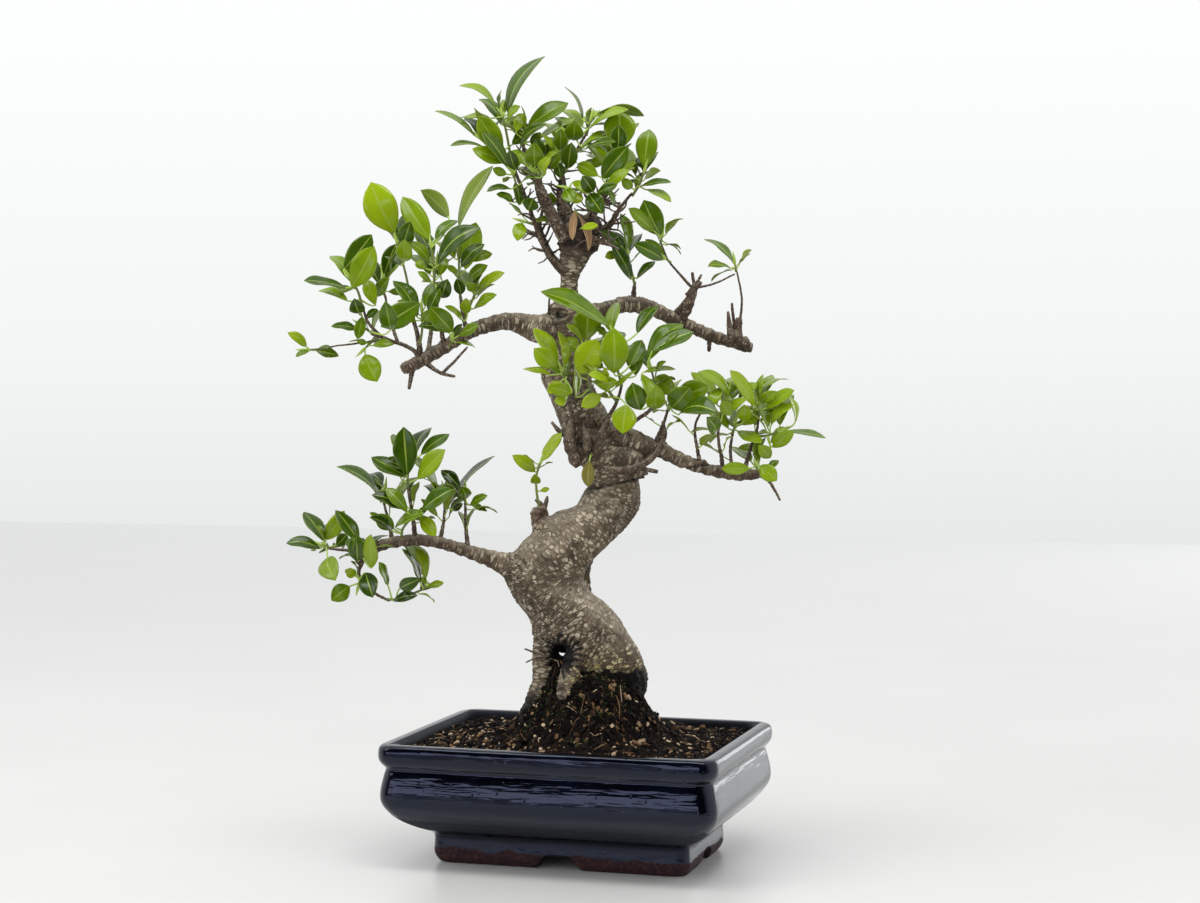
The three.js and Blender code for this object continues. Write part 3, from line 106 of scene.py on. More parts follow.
def wear(piece, *finishes):
    """Gives a piece these materials and no others."""
    piece.data.materials.clear()
    for finish in finishes:
        piece.data.materials.append(finish)


def settle(piece, matrix, nodes=(), smooth=True):
    """Brings a finished piece to its place and gives it to the frame."""
    piece.data.transform(matrix @ piece.matrix_world)
    piece.matrix_world = Matrix.Identity(4)
    piece.data.polygons.foreach_set("use_smooth", [smooth] * len(piece.data.polygons))
    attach(piece, "root")
    if nodes:
        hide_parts(*nodes)
    print(piece.name, "faces", len(piece.data.polygons))
    return piece


def points_of(mesh):
    """The mesh's vertex places as an array."""
    places = np.empty(len(mesh.vertices) * 3)
    mesh.vertices.foreach_get("co", places)
    return places.reshape(-1, 3)


def move_points(mesh, places):
    """Writes vertex places back."""
    mesh.vertices.foreach_set("co", np.ascontiguousarray(places, dtype=float).ravel())
    mesh.update()


def note(mesh, name, values):
    """Keeps one number or one vector for each vertex, for the materials to read."""
    values = np.asarray(values, dtype=float)
    kind = "FLOAT_VECTOR" if values.ndim == 2 else "FLOAT"
    held = mesh.attributes.get(name) or mesh.attributes.new(name, kind, "POINT")
    held.data.foreach_set("vector" if values.ndim == 2 else "value", values.ravel())


# %% [markdown]
# ## Materials
#
# One small function adds a shader node with its settings and links, so that each finish below reads as
# a recipe. Colours are written as screen colours and turned to linear light once.


# %% Node helper
def linear(code, alpha=1.0):
    """A hex screen colour as linear light."""
    parts = [int(code[k : k + 2], 16) / 255 for k in (1, 3, 5)]
    return (*((c / 12.92 if c <= 0.04045 else ((c + 0.055) / 1.055) ** 2.4) for c in parts), alpha)


def connect(material, source, target):
    """Links an output, or a node's first output in use, to an input."""
    if isinstance(source, bpy.types.Node):
        source = next(output for output in source.outputs if output.enabled)
    material.node_tree.links.new(source, target)


def add(material, kind, inputs=(), stops=(), **settings):
    """Adds a node; an input takes a number, a colour, another node or one of its outputs."""
    new = material.node_tree.nodes.new("ShaderNode" + kind)
    for key, value in settings.items():
        setattr(new, key, value)
    for key, value in dict(inputs).items():
        if isinstance(value, (bpy.types.Node, bpy.types.NodeSocket)):
            connect(material, value, new.inputs[key])
        else:
            new.inputs[key].default_value = linear(value) if isinstance(value, str) else value
    for k, (place, code) in enumerate(stops):
        marks = new.color_ramp.elements
        mark = marks[k] if k < 2 else marks.new(place)
        mark.position, mark.color = place, linear(code)
    return new


def finish_named(name, plain):
    """A new material and its surface shader, with the shader's plain numbers and colours."""
    material = bpy.data.materials.new(name)
    material.use_nodes = True
    shader = material.node_tree.nodes["Principled BSDF"]
    for key, value in plain.items():
        shader.inputs[key].default_value = linear(value) if isinstance(value, str) else value
    return material, shader


def told(material):
    """Prints how many nodes the material has by now."""
    print(material.name, "nodes", len(material.node_tree.nodes))


# %% [markdown]
# ### Floor
#
# The ground is matt white laminate: the eye sees no pattern, only a soft sheen with a faint reflection of
# the feet. Far behind the pot it is painted paler, a painted brightening for the lamp light that falls off
# with distance, so that it runs into the wall without a line. Half a metre in front of the pot the floor
# is
# painted near black for mirror rays only: a painted dark reflection of the room's shaded side in the
# glaze.

# %% Floor finish
PAINTED_DARK_EDGE = 0.45
floor_finish, shader = finish_named("matt_white_laminate", {"Roughness": 0.32})
spot = add(floor_finish, "TexCoord").outputs["Object"]
patches = add(floor_finish, "TexNoise", {"Vector": spot, "Scale": 3.0, "Detail": 2.0})
tint = add(floor_finish, "ValToRGB", {"Fac": patches}, [(0.3, "#cbcbc9"), (0.7, "#d0d0ce")])
forward = add(floor_finish, "SeparateXYZ", {"Vector": spot}).outputs["Y"]
# Painted brightening: the floor's colour grows paler far behind the pot, where less lamp light reaches
distance = add(floor_finish, "MapRange", {"Value": forward, "From Min": 0.3, "From Max": 2.9})
painted_far_light = add(floor_finish, "Mix", {"Factor": distance, "A": tint, "B": "#dbdcdb"}, data_type="RGBA")
# Painted dark reflection: past this edge in front of the pot, mirror rays see the floor near black
beyond = add(
    floor_finish, "MapRange",
    {"Value": forward, "From Min": -PAINTED_DARK_EDGE, "From Max": -PAINTED_DARK_EDGE - 0.08},
)
mirror_rays = add(floor_finish, "LightPath").outputs["Is Glossy Ray"]
painted_dark_share = add(floor_finish, "Math", {0: beyond, 1: mirror_rays}, operation="MULTIPLY")
floor_with_painted_dark = add(floor_finish, "Mix", {"Factor": painted_dark_share, "A": painted_far_light, "B": "#15161a"}, data_type="RGBA")
connect(floor_finish, floor_with_painted_dark, shader.inputs["Base Color"])
told(floor_finish)

# %% [markdown]
# ### Glaze and fired clay
#
# The pot wears a cobalt-blue glaze over red stoneware, poured on and fired glossy. The eye sees deep blue
# glass with a faint orange-peel wave and small pits, browner where it runs thin, and bare clay at the
# feet. One material holds both, parted by a ragged line at the height where the potter wiped the foot.

# %% Glaze colour
glaze, shader = finish_named("cobalt_glazed_stoneware", {"IOR": 1.55, "Specular Tint": "#c8d3ef"})
place = add(glaze, "TexCoord").outputs["Object"]
height = add(glaze, "SeparateXYZ", {"Vector": place}).outputs["Z"]
clouds = add(glaze, "TexNoise", {"Vector": place, "Scale": 14.0, "Detail": 4.0, "Roughness": 0.6})
runs_place = add(glaze, "Mapping", {"Vector": place, "Scale": (160.0, 160.0, 14.0)})
runs = add(glaze, "TexNoise", {"Vector": runs_place, "Scale": 1.0, "Detail": 3.0})
blue = add(glaze, "ValToRGB", {"Fac": clouds}, [(0.32, "#010204"), (0.5, "#03040a"), (0.68, "#060915")])
thin = add(glaze, "ValToRGB", {"Fac": runs}, [(0.56, "#000000"), (0.72, "#ffffff")])
glaze_colour = add(glaze, "Mix", {"Factor": thin, "A": blue, "B": "#0d0a10"}, data_type="RGBA")
told(glaze)

# %% Bare clay at the feet
ragged = add(glaze, "TexNoise", {"Vector": place, "Scale": 55.0, "Detail": 3.0})
edge_height = add(glaze, "Math", {0: ragged, 1: 0.013, 2: height}, operation="MULTIPLY_ADD")
glazed = add(glaze, "MapRange", {"Value": edge_height, "From Min": 0.0175, "From Max": 0.0185})
grit = add(glaze, "TexNoise", {"Vector": place, "Scale": 420.0, "Detail": 4.0})
clay = add(glaze, "ValToRGB", {"Fac": grit}, [(0.3, "#1d0b09"), (0.55, "#33160f"), (0.75, "#57301f")])
colour = add(glaze, "Mix", {"Factor": glazed, "A": clay, "B": glaze_colour}, data_type="RGBA")
# Inside the pot the colour is made near black
inside = add(glaze, "Attribute", attribute_name="inside").outputs["Fac"]
darker_inside = add(glaze, "Mix", {"Factor": inside, "A": colour, "B": "#0c0b0b"}, data_type="RGBA")
told(glaze)

# %% Gloss, waves and pits
shine = add(glaze, "MapRange", {"Value": glazed, "To Min": 0.8, "To Max": 0.08})
gloss = add(glaze, "Math", {0: inside, 1: 0.6, 2: shine}, operation="MULTIPLY_ADD")
waves_place = add(glaze, "Mapping", {"Vector": place, "Scale": (22.0, 22.0, 170.0)})
peel = add(glaze, "TexNoise", {"Vector": waves_place, "Scale": 1.0, "Detail": 2.5})
pit_cells = add(glaze, "TexVoronoi", {"Vector": place, "Scale": 130.0})
pits = add(glaze, "MapRange", {"Value": pit_cells, "From Min": 0.05, "From Max": 0.16})
relief = add(glaze, "Math", {0: pits, 1: 0.25, 2: peel}, operation="MULTIPLY_ADD")
bump = add(glaze, "Bump", {"Height": relief, "Strength": 0.4, "Distance": 0.0014})
connect(glaze, darker_inside, shader.inputs["Base Color"])
connect(glaze, gloss, shader.inputs["Roughness"])
connect(glaze, bump, shader.inputs["Normal"])
told(glaze)

# %% [markdown]
# ### Bark
#
# Fig bark is a thin grey-brown skin. It stretches as the trunk swells, so paler corky flecks lie across
# it between dark lines, and fine rings wrinkle it. Young wood is darker and browner with few flecks. A
# photo could be wrapped round the limbs, but each fork would smear it. Here the pattern reads each
# limb's own place, and other numbers kept on the points say where earth stains and painted shade, lichen
# and scars are. Upper sides are painted paler, a painted highlight for light from above.

# %% Numbers that the wood keeps for its bark
bark, shader = finish_named("banyan_fig_bark", {"Roughness": 0.75, "IOR": 1.45})
spot_place = add(bark, "Attribute", attribute_name="bark_place").outputs["Vector"]
limb_size = add(bark, "Attribute", attribute_name="limb_size").outputs["Fac"]
earth = add(bark, "Attribute", attribute_name="earth").outputs["Fac"]
lichen = add(bark, "Attribute", attribute_name="lichen").outputs["Fac"]
scar = add(bark, "Attribute", attribute_name="scar").outputs["Fac"]
wander = add(bark, "TexNoise", {"Vector": spot_place, "Scale": 0.42, "Detail": 3.0})
bent = add(
    bark, "VectorMath", {0: wander.outputs["Color"], 1: (3.0, 3.0, 3.0), 2: spot_place},
    operation="MULTIPLY_ADD",
)
told(bark)

# %% Corky flecks
# Cells in millimetres: about two and a half to a fleck
FLECK_SCALE = 0.38
fleck_cells = add(bark, "TexVoronoi", {"Vector": bent, "Scale": FLECK_SCALE})
fleck_edges = add(bark, "TexVoronoi", {"Vector": bent, "Scale": FLECK_SCALE}, feature="DISTANCE_TO_EDGE")
cell_draw = add(bark, "SeparateColor", {"Color": fleck_cells.outputs["Color"]})
crowding = add(bark, "TexNoise", {"Vector": spot_place, "Scale": 0.05, "Detail": 2.0})
own_size = add(bark, "MapRange", {"Value": cell_draw.outputs["Red"], "To Min": -0.12, "To Max": 0.42})
fleck_limit = add(bark, "Math", {0: crowding, 1: 0.62, 2: own_size}, operation="MULTIPLY_ADD")
fleck_depth = add(bark, "Math", {0: fleck_limit, 1: fleck_cells}, operation="SUBTRACT")
fleck = add(bark, "MapRange", {"Value": fleck_depth, "From Min": 0.0, "From Max": 0.1})
line_near = add(bark, "MapRange", {"Value": fleck_edges, "From Min": 0.13, "From Max": 0.02})
told(bark)

# %% Wrinkles across the limb
crease = add(bark, "TexWave", {
    "Vector": spot_place, "Scale": 0.19, "Distortion": 5.0, "Detail": 3.0, "Detail Scale": 0.6,
}, bands_direction="Z", wave_profile="SIN")
crease_where = add(bark, "TexNoise", {"Vector": spot_place, "Scale": 0.035, "Detail": 2.0})
crease_share = add(
    bark, "MapRange",
    {"Value": crease_where, "From Min": 0.42, "From Max": 0.62, "To Min": 0.12, "To Max": 0.8},
)
crease_here = add(bark, "Math", {0: crease.outputs["Fac"], 1: crease_share}, operation="MULTIPLY")
told(bark)

# %% Bark colours by age
mottle = add(bark, "TexNoise", {"Vector": spot_place, "Scale": 0.16, "Detail": 6.0, "Roughness": 0.7})
old_bark = add(bark, "ValToRGB", {"Fac": mottle}, [(0.3, "#4b3e2f"), (0.5, "#6c5d49"), (0.7, "#92826a")])
young_bark = add(
    bark, "ValToRGB", {"Fac": mottle},
    [(0.3, "#3a2c22"), (0.5, "#604c3e"), (0.7, "#8c7562")],
)
age = add(bark, "MapRange", {"Value": limb_size, "From Min": 3.8, "From Max": 8.0})
skin_colour = add(bark, "Mix", {"Factor": age, "A": young_bark, "B": old_bark}, data_type="RGBA")
fleck_tone = add(
    bark, "ValToRGB", {"Fac": cell_draw.outputs["Green"]}, [(0.1, "#8f7f68"), (0.9, "#cdbfa6")]
)
scaly_tone = add(
    bark, "ValToRGB", {"Fac": cell_draw.outputs["Blue"]},
    [(0.0, "#bda873"), (0.6, "#d9cba0"), (0.9, "#b9ac62")],
)
fleck_colour = add(bark, "Mix", {"Factor": lichen, "A": fleck_tone, "B": scaly_tone}, data_type="RGBA")
fleck_share = add(
    bark, "MapRange",
    {"Value": limb_size, "From Min": 4.2, "From Max": 8.0, "To Min": 0.3, "To Max": 0.9},
)
fleck_here = add(bark, "Math", {0: fleck, 1: fleck_share}, operation="MULTIPLY")
flecked = add(bark, "Mix", {"Factor": fleck_here, "A": skin_colour, "B": fleck_colour}, data_type="RGBA")
told(bark)

# %% Dark lines, scars, painted top light, earth and painted shade
dark_lines = add(bark, "Math", {0: line_near, 1: 0.5}, operation="MULTIPLY")
dark_here = add(
    bark, "Math", {0: crease_here, 1: 0.6, 2: dark_lines},
    operation="MULTIPLY_ADD", use_clamp=True,
)
lined = add(bark, "Mix", {"Factor": dark_here, "A": flecked, "B": "#33281d"}, data_type="RGBA")
scarred = add(bark, "Mix", {"Factor": scar, "A": lined, "B": young_bark}, data_type="RGBA")
# Upper sides are painted a paler grey: a painted highlight for light from above
facing = add(bark, "SeparateXYZ", {"Vector": add(bark, "NewGeometry").outputs["Normal"]})
upward = add(
    bark, "MapRange",
    {"Value": facing.outputs["Z"], "From Min": 0.15, "From Max": 0.95, "To Max": 0.75},
)
top_light_share = add(bark, "Math", {0: upward, 1: mottle}, operation="MULTIPLY")
painted_top_light = add(bark, "Mix", {"Factor": top_light_share, "A": scarred, "B": "#c9bda6"}, data_type="RGBA")
# Earth stains near the soil, and painted shade in the wire's groove and the hollow knot, darken the bark
stained_and_shaded = add(bark, "Mix", {"Factor": earth, "A": painted_top_light, "B": "#0d0a07"}, data_type="RGBA")
told(bark)

# %% Bark relief
fine = add(bark, "TexNoise", {"Vector": spot_place, "Scale": 0.9, "Detail": 4.0, "Roughness": 0.75})
relief_flecks = add(bark, "Math", {0: fleck, 1: 0.45, 2: fine}, operation="MULTIPLY_ADD")
bark_relief = add(bark, "Math", {0: dark_here, 1: -0.9, 2: relief_flecks}, operation="MULTIPLY_ADD")
bump = add(bark, "Bump", {"Height": bark_relief, "Strength": 0.85, "Distance": 0.0009})
connect(bark, stained_and_shaded, shader.inputs["Base Color"])
connect(bark, bump, shader.inputs["Normal"])
told(bark)

# %% [markdown]
# ### Leaves
#
# These are leathery evergreen leaves under a waxed skin: clear highlights on a green that yellows with
# youth, a pale midrib and rim, and light that comes through where the sunny side faces away. A picture
# of one leaf would repeat itself two hundred times; drawn from the blade's own map, each leaf differs.

# %% Leaf recipe


def leaf_recipe(name, dark, mid, bright, young, rib, roughness, vein_depth, through):
    """A leaf's skin. Old leaves run from dark to bright by their own tone, young ones are yellower."""
    material, shader = finish_named(name, {"Roughness": roughness, "IOR": 1.5})
    flat = add(material, "SeparateXYZ", {"Vector": add(material, "UVMap").outputs["UV"]})
    tone = add(material, "Attribute", attribute_name="tone").outputs["Fac"]
    youth = add(material, "Attribute", attribute_name="youth").outputs["Fac"]
    place = add(material, "TexCoord").outputs["Object"]
    blotch = add(material, "TexNoise", {"Vector": place, "Scale": 90.0, "Detail": 3.0})
    tone_here = add(material, "Math", {0: blotch, 1: 0.35, 2: tone}, operation="MULTIPLY_ADD")
    old = add(material, "ValToRGB", {"Fac": tone_here}, [(0.15, dark), (0.6, mid), (1.0, bright)])
    body = add(material, "Mix", {"Factor": youth, "A": old, "B": young}, data_type="RGBA")
    # How far from the midrib, 0 to 1
    across = add(material, "Math", {0: flat.outputs["X"], 1: 2.0, 2: -1.0}, operation="MULTIPLY_ADD")
    out = add(material, "Math", {0: across}, operation="ABSOLUTE")
    midrib = add(material, "MapRange", {"Value": out, "From Min": 0.1, "From Max": 0.035})
    rim = add(material, "MapRange", {"Value": out, "From Min": 0.9, "From Max": 1.0})
    lean = add(material, "Math", {0: out, 1: -0.22, 2: flat.outputs["Y"]}, operation="MULTIPLY_ADD")
    turns = add(material, "Math", {0: lean, 1: 58.0}, operation="MULTIPLY")
    vein_wave = add(material, "Math", {0: turns}, operation="SINE")
    vein = add(material, "MapRange", {"Value": vein_wave, "From Min": 0.82, "From Max": 1.0})
    pale = add(material, "Math", {0: vein, 1: 0.05}, operation="MULTIPLY")
    edge = add(material, "Math", {0: rim, 1: 0.5}, operation="MULTIPLY")
    lines = add(material, "Math", {0: pale, 1: edge}, operation="MAXIMUM")
    rib_share = add(material, "Math", {0: midrib, 1: 0.8}, operation="MULTIPLY")
    lines = add(material, "Math", {0: lines, 1: rib_share}, operation="MAXIMUM")
    veined = add(material, "Mix", {"Factor": lines, "A": body, "B": rib}, data_type="RGBA")
    relief = add(material, "Math", {0: vein, 1: vein_depth, 2: blotch}, operation="MULTIPLY_ADD")
    bump = add(material, "Bump", {"Height": relief, "Strength": 0.3, "Distance": 0.0003})
    connect(material, veined, shader.inputs["Base Color"])
    connect(material, bump, shader.inputs["Normal"])
    glow = add(material, "BsdfTranslucent", {"Color": veined})
    blend = add(material, "MixShader", {0: through, 1: shader, 2: glow})
    connect(material, blend, material.node_tree.nodes["Material Output"].inputs["Surface"])
    told(material)
    return material


# %% Four leaf skins
leaf_top = leaf_recipe(
    "waxed_fig_leaf_top", "#213a01", "#4d6d04", "#87a40b", "#a2bb0e", "#a3b44c", 0.17, -0.2, 0.24
)
leaf_under = leaf_recipe(
    "fig_leaf_underside", "#5a7018", "#6f881e", "#8fa52c", "#b2c826", "#b4c270", 0.45, 0.25, 0.35
)
olive_top = leaf_recipe(
    "ageing_fig_leaf", "#665f1e", "#7b7427", "#948a38", "#a8a03a", "#b0a45a", 0.4, -0.4, 0.15
)
dead_top = leaf_recipe(
    "dry_dead_leaf", "#7a5a3a", "#a8845a", "#c9a67a", "#c9a67a", "#cfb48c", 0.8, 0.9, 0.1
)
leaf_top_finishes = {"olive": olive_top, "dead": dead_top}
leaf_under_finishes = {"olive": olive_top, "dead": dead_top}

# %% [markdown]
# ### Leafstalks and green stems
#
# Young stems have a living green skin over soft wood, waxy and a little uneven, and turn brown with age.
# A noise of a few millimetres streaks the green; each stem's own number moves it towards brown.

# %% Stalk finish
stalk_finish, shader = finish_named("waxed_green_stalk", {"Roughness": 0.42})
green = add(stalk_finish, "Attribute", attribute_name="tone").outputs["Fac"]
place = add(stalk_finish, "TexCoord").outputs["Object"]
streak = add(stalk_finish, "TexNoise", {"Vector": place, "Scale": 260.0, "Detail": 3.0})
green_here = add(stalk_finish, "Math", {0: streak, 1: 0.5, 2: green}, operation="MULTIPLY_ADD")
stalk_tone = add(
    stalk_finish, "ValToRGB", {"Fac": green_here},
    [(0.3, "#5f5a34"), (0.7, "#7f9a3c"), (1.1, "#a5c04e")],
)
connect(stalk_finish, stalk_tone, shader.inputs["Base Color"])
told(stalk_finish)

# %% [markdown]
# ### Soil, chips and moss
#
# The pot holds damp peat and composted bark: nearly black with brown crumbs, and hardly any shine. Loose
# bark chips, grit and threads each keep a tone of their own, from wet black-brown to dry cream, and the
# moss goes from dark olive to fresh green. Three plain materials do it, since the shapes do the rest.

# %% Soil finish
soil_finish, shader = finish_named("damp_peat_soil", {"Roughness": 0.85, "Specular IOR Level": 0.1})
place = add(soil_finish, "TexCoord").outputs["Object"]
crumbs = add(soil_finish, "TexVoronoi", {"Vector": place, "Scale": 420.0})
patches = add(soil_finish, "TexNoise", {"Vector": place, "Scale": 60.0, "Detail": 6.0, "Roughness": 0.7})
crumb_tone = add(soil_finish, "Math", {0: crumbs, 1: 0.5, 2: patches}, operation="MULTIPLY_ADD")
peat = add(
    soil_finish, "ValToRGB", {"Fac": crumb_tone},
    [(0.45, "#020101"), (0.7, "#0b0706"), (0.95, "#221811")],
)
fine = add(soil_finish, "TexNoise", {"Vector": place, "Scale": 700.0, "Detail": 4.0, "Roughness": 0.7})
bump = add(soil_finish, "Bump", {"Height": fine, "Strength": 0.8, "Distance": 0.0012})
connect(soil_finish, peat, shader.inputs["Base Color"])
connect(soil_finish, bump, shader.inputs["Normal"])
told(soil_finish)

# %% Chip finish
chip_finish, shader = finish_named("composted_pine_bark", {"Roughness": 0.8, "Specular IOR Level": 0.15})
tone = add(chip_finish, "Attribute", attribute_name="tone").outputs["Fac"]
place = add(chip_finish, "TexCoord").outputs["Object"]
grain = add(chip_finish, "TexNoise", {"Vector": place, "Scale": 520.0, "Detail": 3.0})
tone_here = add(chip_finish, "Math", {0: grain, 1: 0.25, 2: tone}, operation="MULTIPLY_ADD")
chip_tone = add(
    chip_finish, "ValToRGB", {"Fac": tone_here},
    [(0.1, "#050302"), (0.38, "#140d09"), (0.62, "#392819"), (0.88, "#7a5f42"), (1.05, "#a8937a")],
)
connect(chip_finish, chip_tone, shader.inputs["Base Color"])
told(chip_finish)

# %% Moss finish
moss_finish, shader = finish_named("cushion_moss", {"Roughness": 0.7})
tone = add(moss_finish, "Attribute", attribute_name="tone").outputs["Fac"]
moss_tone = add(
    moss_finish, "ValToRGB", {"Fac": tone}, [(0.0, "#1c2410"), (0.6, "#36461b"), (1.0, "#5d7030")]
)
connect(moss_finish, moss_tone, shader.inputs["Base Color"])
told(moss_finish)

# %% [markdown]
# ### Drain mesh
#
# Squares of moulded black polythene keep the soil in the pot: dull, with a little dust in them. Their
# solids are true already, so they stay as they are and only change their material.

# %% Mesh finish
mesh_finish, shader = finish_named("moulded_black_polythene", {"Roughness": 0.55, "IOR": 1.51})
place = add(mesh_finish, "TexCoord").outputs["Object"]
dust = add(mesh_finish, "TexNoise", {"Vector": place, "Scale": 180.0, "Detail": 4.0})
dusty = add(mesh_finish, "ValToRGB", {"Fac": dust}, [(0.45, "#121212"), (0.7, "#2b2723")])
connect(mesh_finish, dusty, shader.inputs["Base Color"])
for name in ("drain_mesh_left", "drain_mesh_right"):
    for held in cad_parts[name].material_slots:
        held.material = mesh_finish
    print(name, "finishes", [held.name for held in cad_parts[name].material_slots])


# %% [markdown]
# ## The pot
#
# The real pot is stoneware, pressed in a mould and glazed all over but for its feet. It could be a sweep
# of the wall's section round a rounded rectangle. Here one plane is extruded again and again instead,
# as a potter raises a wall: from the floor up the inside, over the rim and down the outside to the foot.

# %% Sections of the pot's wall
FLOOR_TOP = 28
FLOOR_UNDERSIDE = 17
CORNER_RADIUS = 14
CORNER_STEPS = 7
SIDE_CUTS = 7
POT_LENGTH, POT_WIDTH = ((high - low) / MM for low, high in zip(pot_low[:2], pot_high[:2]))
# [inset from the rim's length, inset from its width, height]
INNER_WALL = [
    (34, 34, 29.5), (28, 28, 33), (19, 19, 44), (15.6, 15.6, 54), (14, 14, 66), (13.5, 13.5, 80),
    (13.2, 13.2, 90), (12.6, 12.6, 94), (11, 11, 95.8),
]
OUTER_WALL = [
    (8, 8, 96.2), (4.6, 4.6, 96.2), (2.2, 2.2, 95.5), (0.8, 0.8, 94), (0.2, 0.2, 91.6), (0, 0, 88),
    (0.2, 0.2, 85), (1, 1, 82.6), (2.8, 2.8, 80), (4.2, 4.2, 78.4), (4.8, 4.8, 77), (4.3, 4.3, 75.4),
    (3.6, 3.6, 73), (2.9, 2.9, 70), (2.2, 2.2, 66.5), (1.4, 1.4, 62.5), (0.9, 0.9, 58), (0.9, 0.9, 53.5),
    (2.2, 2.2, 49), (5, 5, 44.5),
    (9, 9, 39.4), (16, 18, 33), (25, 29, 27.5), (30.6, 38.6, 24.4), (32, 41, 21), (31.4, 40.4, 14),
    (31.2, 40.2, 7), (32.8, 41.8, 3.8), (34.8, 43.8, 0.6), (36, 45, 0),
]
UNDERSIDE = [(45, 54, 0), (47.5, 56.5, 2), (48.5, 57.5, 15), (51, 60, FLOOR_UNDERSIDE)]
print("pot", round(POT_LENGTH, 1), "x", round(POT_WIDTH, 1), "mm")

# %% Raise the wall
deselect()
bpy.ops.mesh.primitive_plane_add(size=1, location=(0, 0, 0))
pot = bpy.context.object
pot.name = pot.data.name = "pot_glazed"
bpy.ops.object.mode_set(mode="EDIT")
inset = 36
size = [POT_LENGTH - 2 * inset, POT_WIDTH - 2 * inset]
bpy.ops.transform.resize(value=(size[0], size[1], 1))
bpy.ops.transform.translate(value=(0, 0, FLOOR_TOP))
bpy.ops.mesh.bevel(affect="VERTICES", offset=CORNER_RADIUS * 0.7, segments=CORNER_STEPS)
bpy.ops.mesh.select_all(action="DESELECT")
bpy.ops.object.mode_set(mode="OBJECT")
for edge in pot.data.edges:
    ends = [pot.data.vertices[k].co for k in edge.vertices]
    edge.select = (ends[0] - ends[1]).length > CORNER_RADIUS
bpy.ops.object.mode_set(mode="EDIT")
bpy.ops.mesh.select_mode(type="EDGE")
bpy.ops.mesh.subdivide(number_cuts=SIDE_CUTS)
bpy.ops.mesh.select_mode(type="FACE")
bpy.ops.mesh.select_all(action="SELECT")
level = FLOOR_TOP
for inset_length, inset_width, height in INNER_WALL + OUTER_WALL + UNDERSIDE:
    bpy.ops.mesh.extrude_region_move(TRANSFORM_OT_translate={"value": (0, 0, height - level)})
    new_size = [POT_LENGTH - 2 * inset_length, POT_WIDTH - 2 * inset_width]
    bpy.ops.transform.resize(
        value=(new_size[0] / size[0], new_size[1] / size[1], 1), center_override=(0, 0, 0)
    )
    size, level = new_size, height
bpy.ops.mesh.select_all(action="SELECT")
bpy.ops.mesh.normals_make_consistent(inside=False)
bpy.ops.object.mode_set(mode="OBJECT")
modify(pot, "SUBSURF", levels=2, render_levels=2)
print("pot wall faces", len(pot.data.polygons))

# %% [markdown]
# ### Feet and drain holes
#
# The ring under the real pot is cut away in the middle of each side, so that four feet stay and water can
# run off. A bar with the gap's section is taken away across the whole pot, once for each direction, and
# a cylinder for each drain hole.

# %% Cut the gaps and the holes
NOTCH_HEIGHT = 11
FRONT_NOTCH = (52, 22)
SIDE_NOTCH = (44, 20)
DRAIN_RADIUS = 8
DRAIN_OFFSET = 55


def notch(name, bottom, top, reach, turn):
    """A bar with the gap's section, all the way across under the pot."""
    deselect()
    bpy.ops.mesh.primitive_cube_add(size=1, location=(0, 0, 0))
    bar = bpy.context.object
    bar.name = name
    bpy.ops.object.mode_set(mode="EDIT")
    bpy.ops.transform.resize(value=(bottom, reach, 2 * NOTCH_HEIGHT))
    bpy.ops.mesh.select_all(action="DESELECT")
    bpy.ops.object.mode_set(mode="OBJECT")
    for vertex in bar.data.vertices:
        vertex.select = vertex.co.z > 0
    bpy.ops.object.mode_set(mode="EDIT")
    bpy.ops.transform.resize(value=(top / bottom, 1, 1))
    bpy.ops.object.mode_set(mode="OBJECT")
    modify(bar, "BEVEL", width=4, segments=4, limit_method="ANGLE")
    bar.rotation_euler.z = turn
    return bar


cutters = [
    notch("front_gap", *FRONT_NOTCH, POT_WIDTH, 0),
    notch("side_gap", *SIDE_NOTCH, POT_LENGTH, math.pi / 2),
]
for side in (-1, 1):
    deselect()
    bpy.ops.mesh.primitive_cylinder_add(
        vertices=40, radius=DRAIN_RADIUS, depth=3 * FLOOR_TOP, location=(side * DRAIN_OFFSET, 0, FLOOR_TOP)
    )
    cutters.append(bpy.context.object)
for cutter in cutters:
    modify(pot, "BOOLEAN", operation="DIFFERENCE", object=cutter, solver="EXACT")
    bpy.data.objects.remove(cutter)
wall = points_of(pot.data)
out_of_middle = np.abs(wall[:, :2]) - np.array([POT_LENGTH / 2 - 10, POT_WIDTH / 2 - 10])
inside = (out_of_middle < 0).all(axis=1) & (wall[:, 2] > FLOOR_TOP - 1)
note(pot.data, "inside", inside)
wear(pot, glaze)
settle(pot, POT_FRAME, ["pot"])


# %% [markdown]
# ## The wood: how the tree grew
#
# Trunk, roots and branches are one grown body, so they are one piece. It could be sculpted from a ball.
# Here every limb is first a rolled tube along its own line, as wires are bound for a clay figure. All
# tubes are then melted together by a voxel remesh, which closes each fork softly, as bark does.

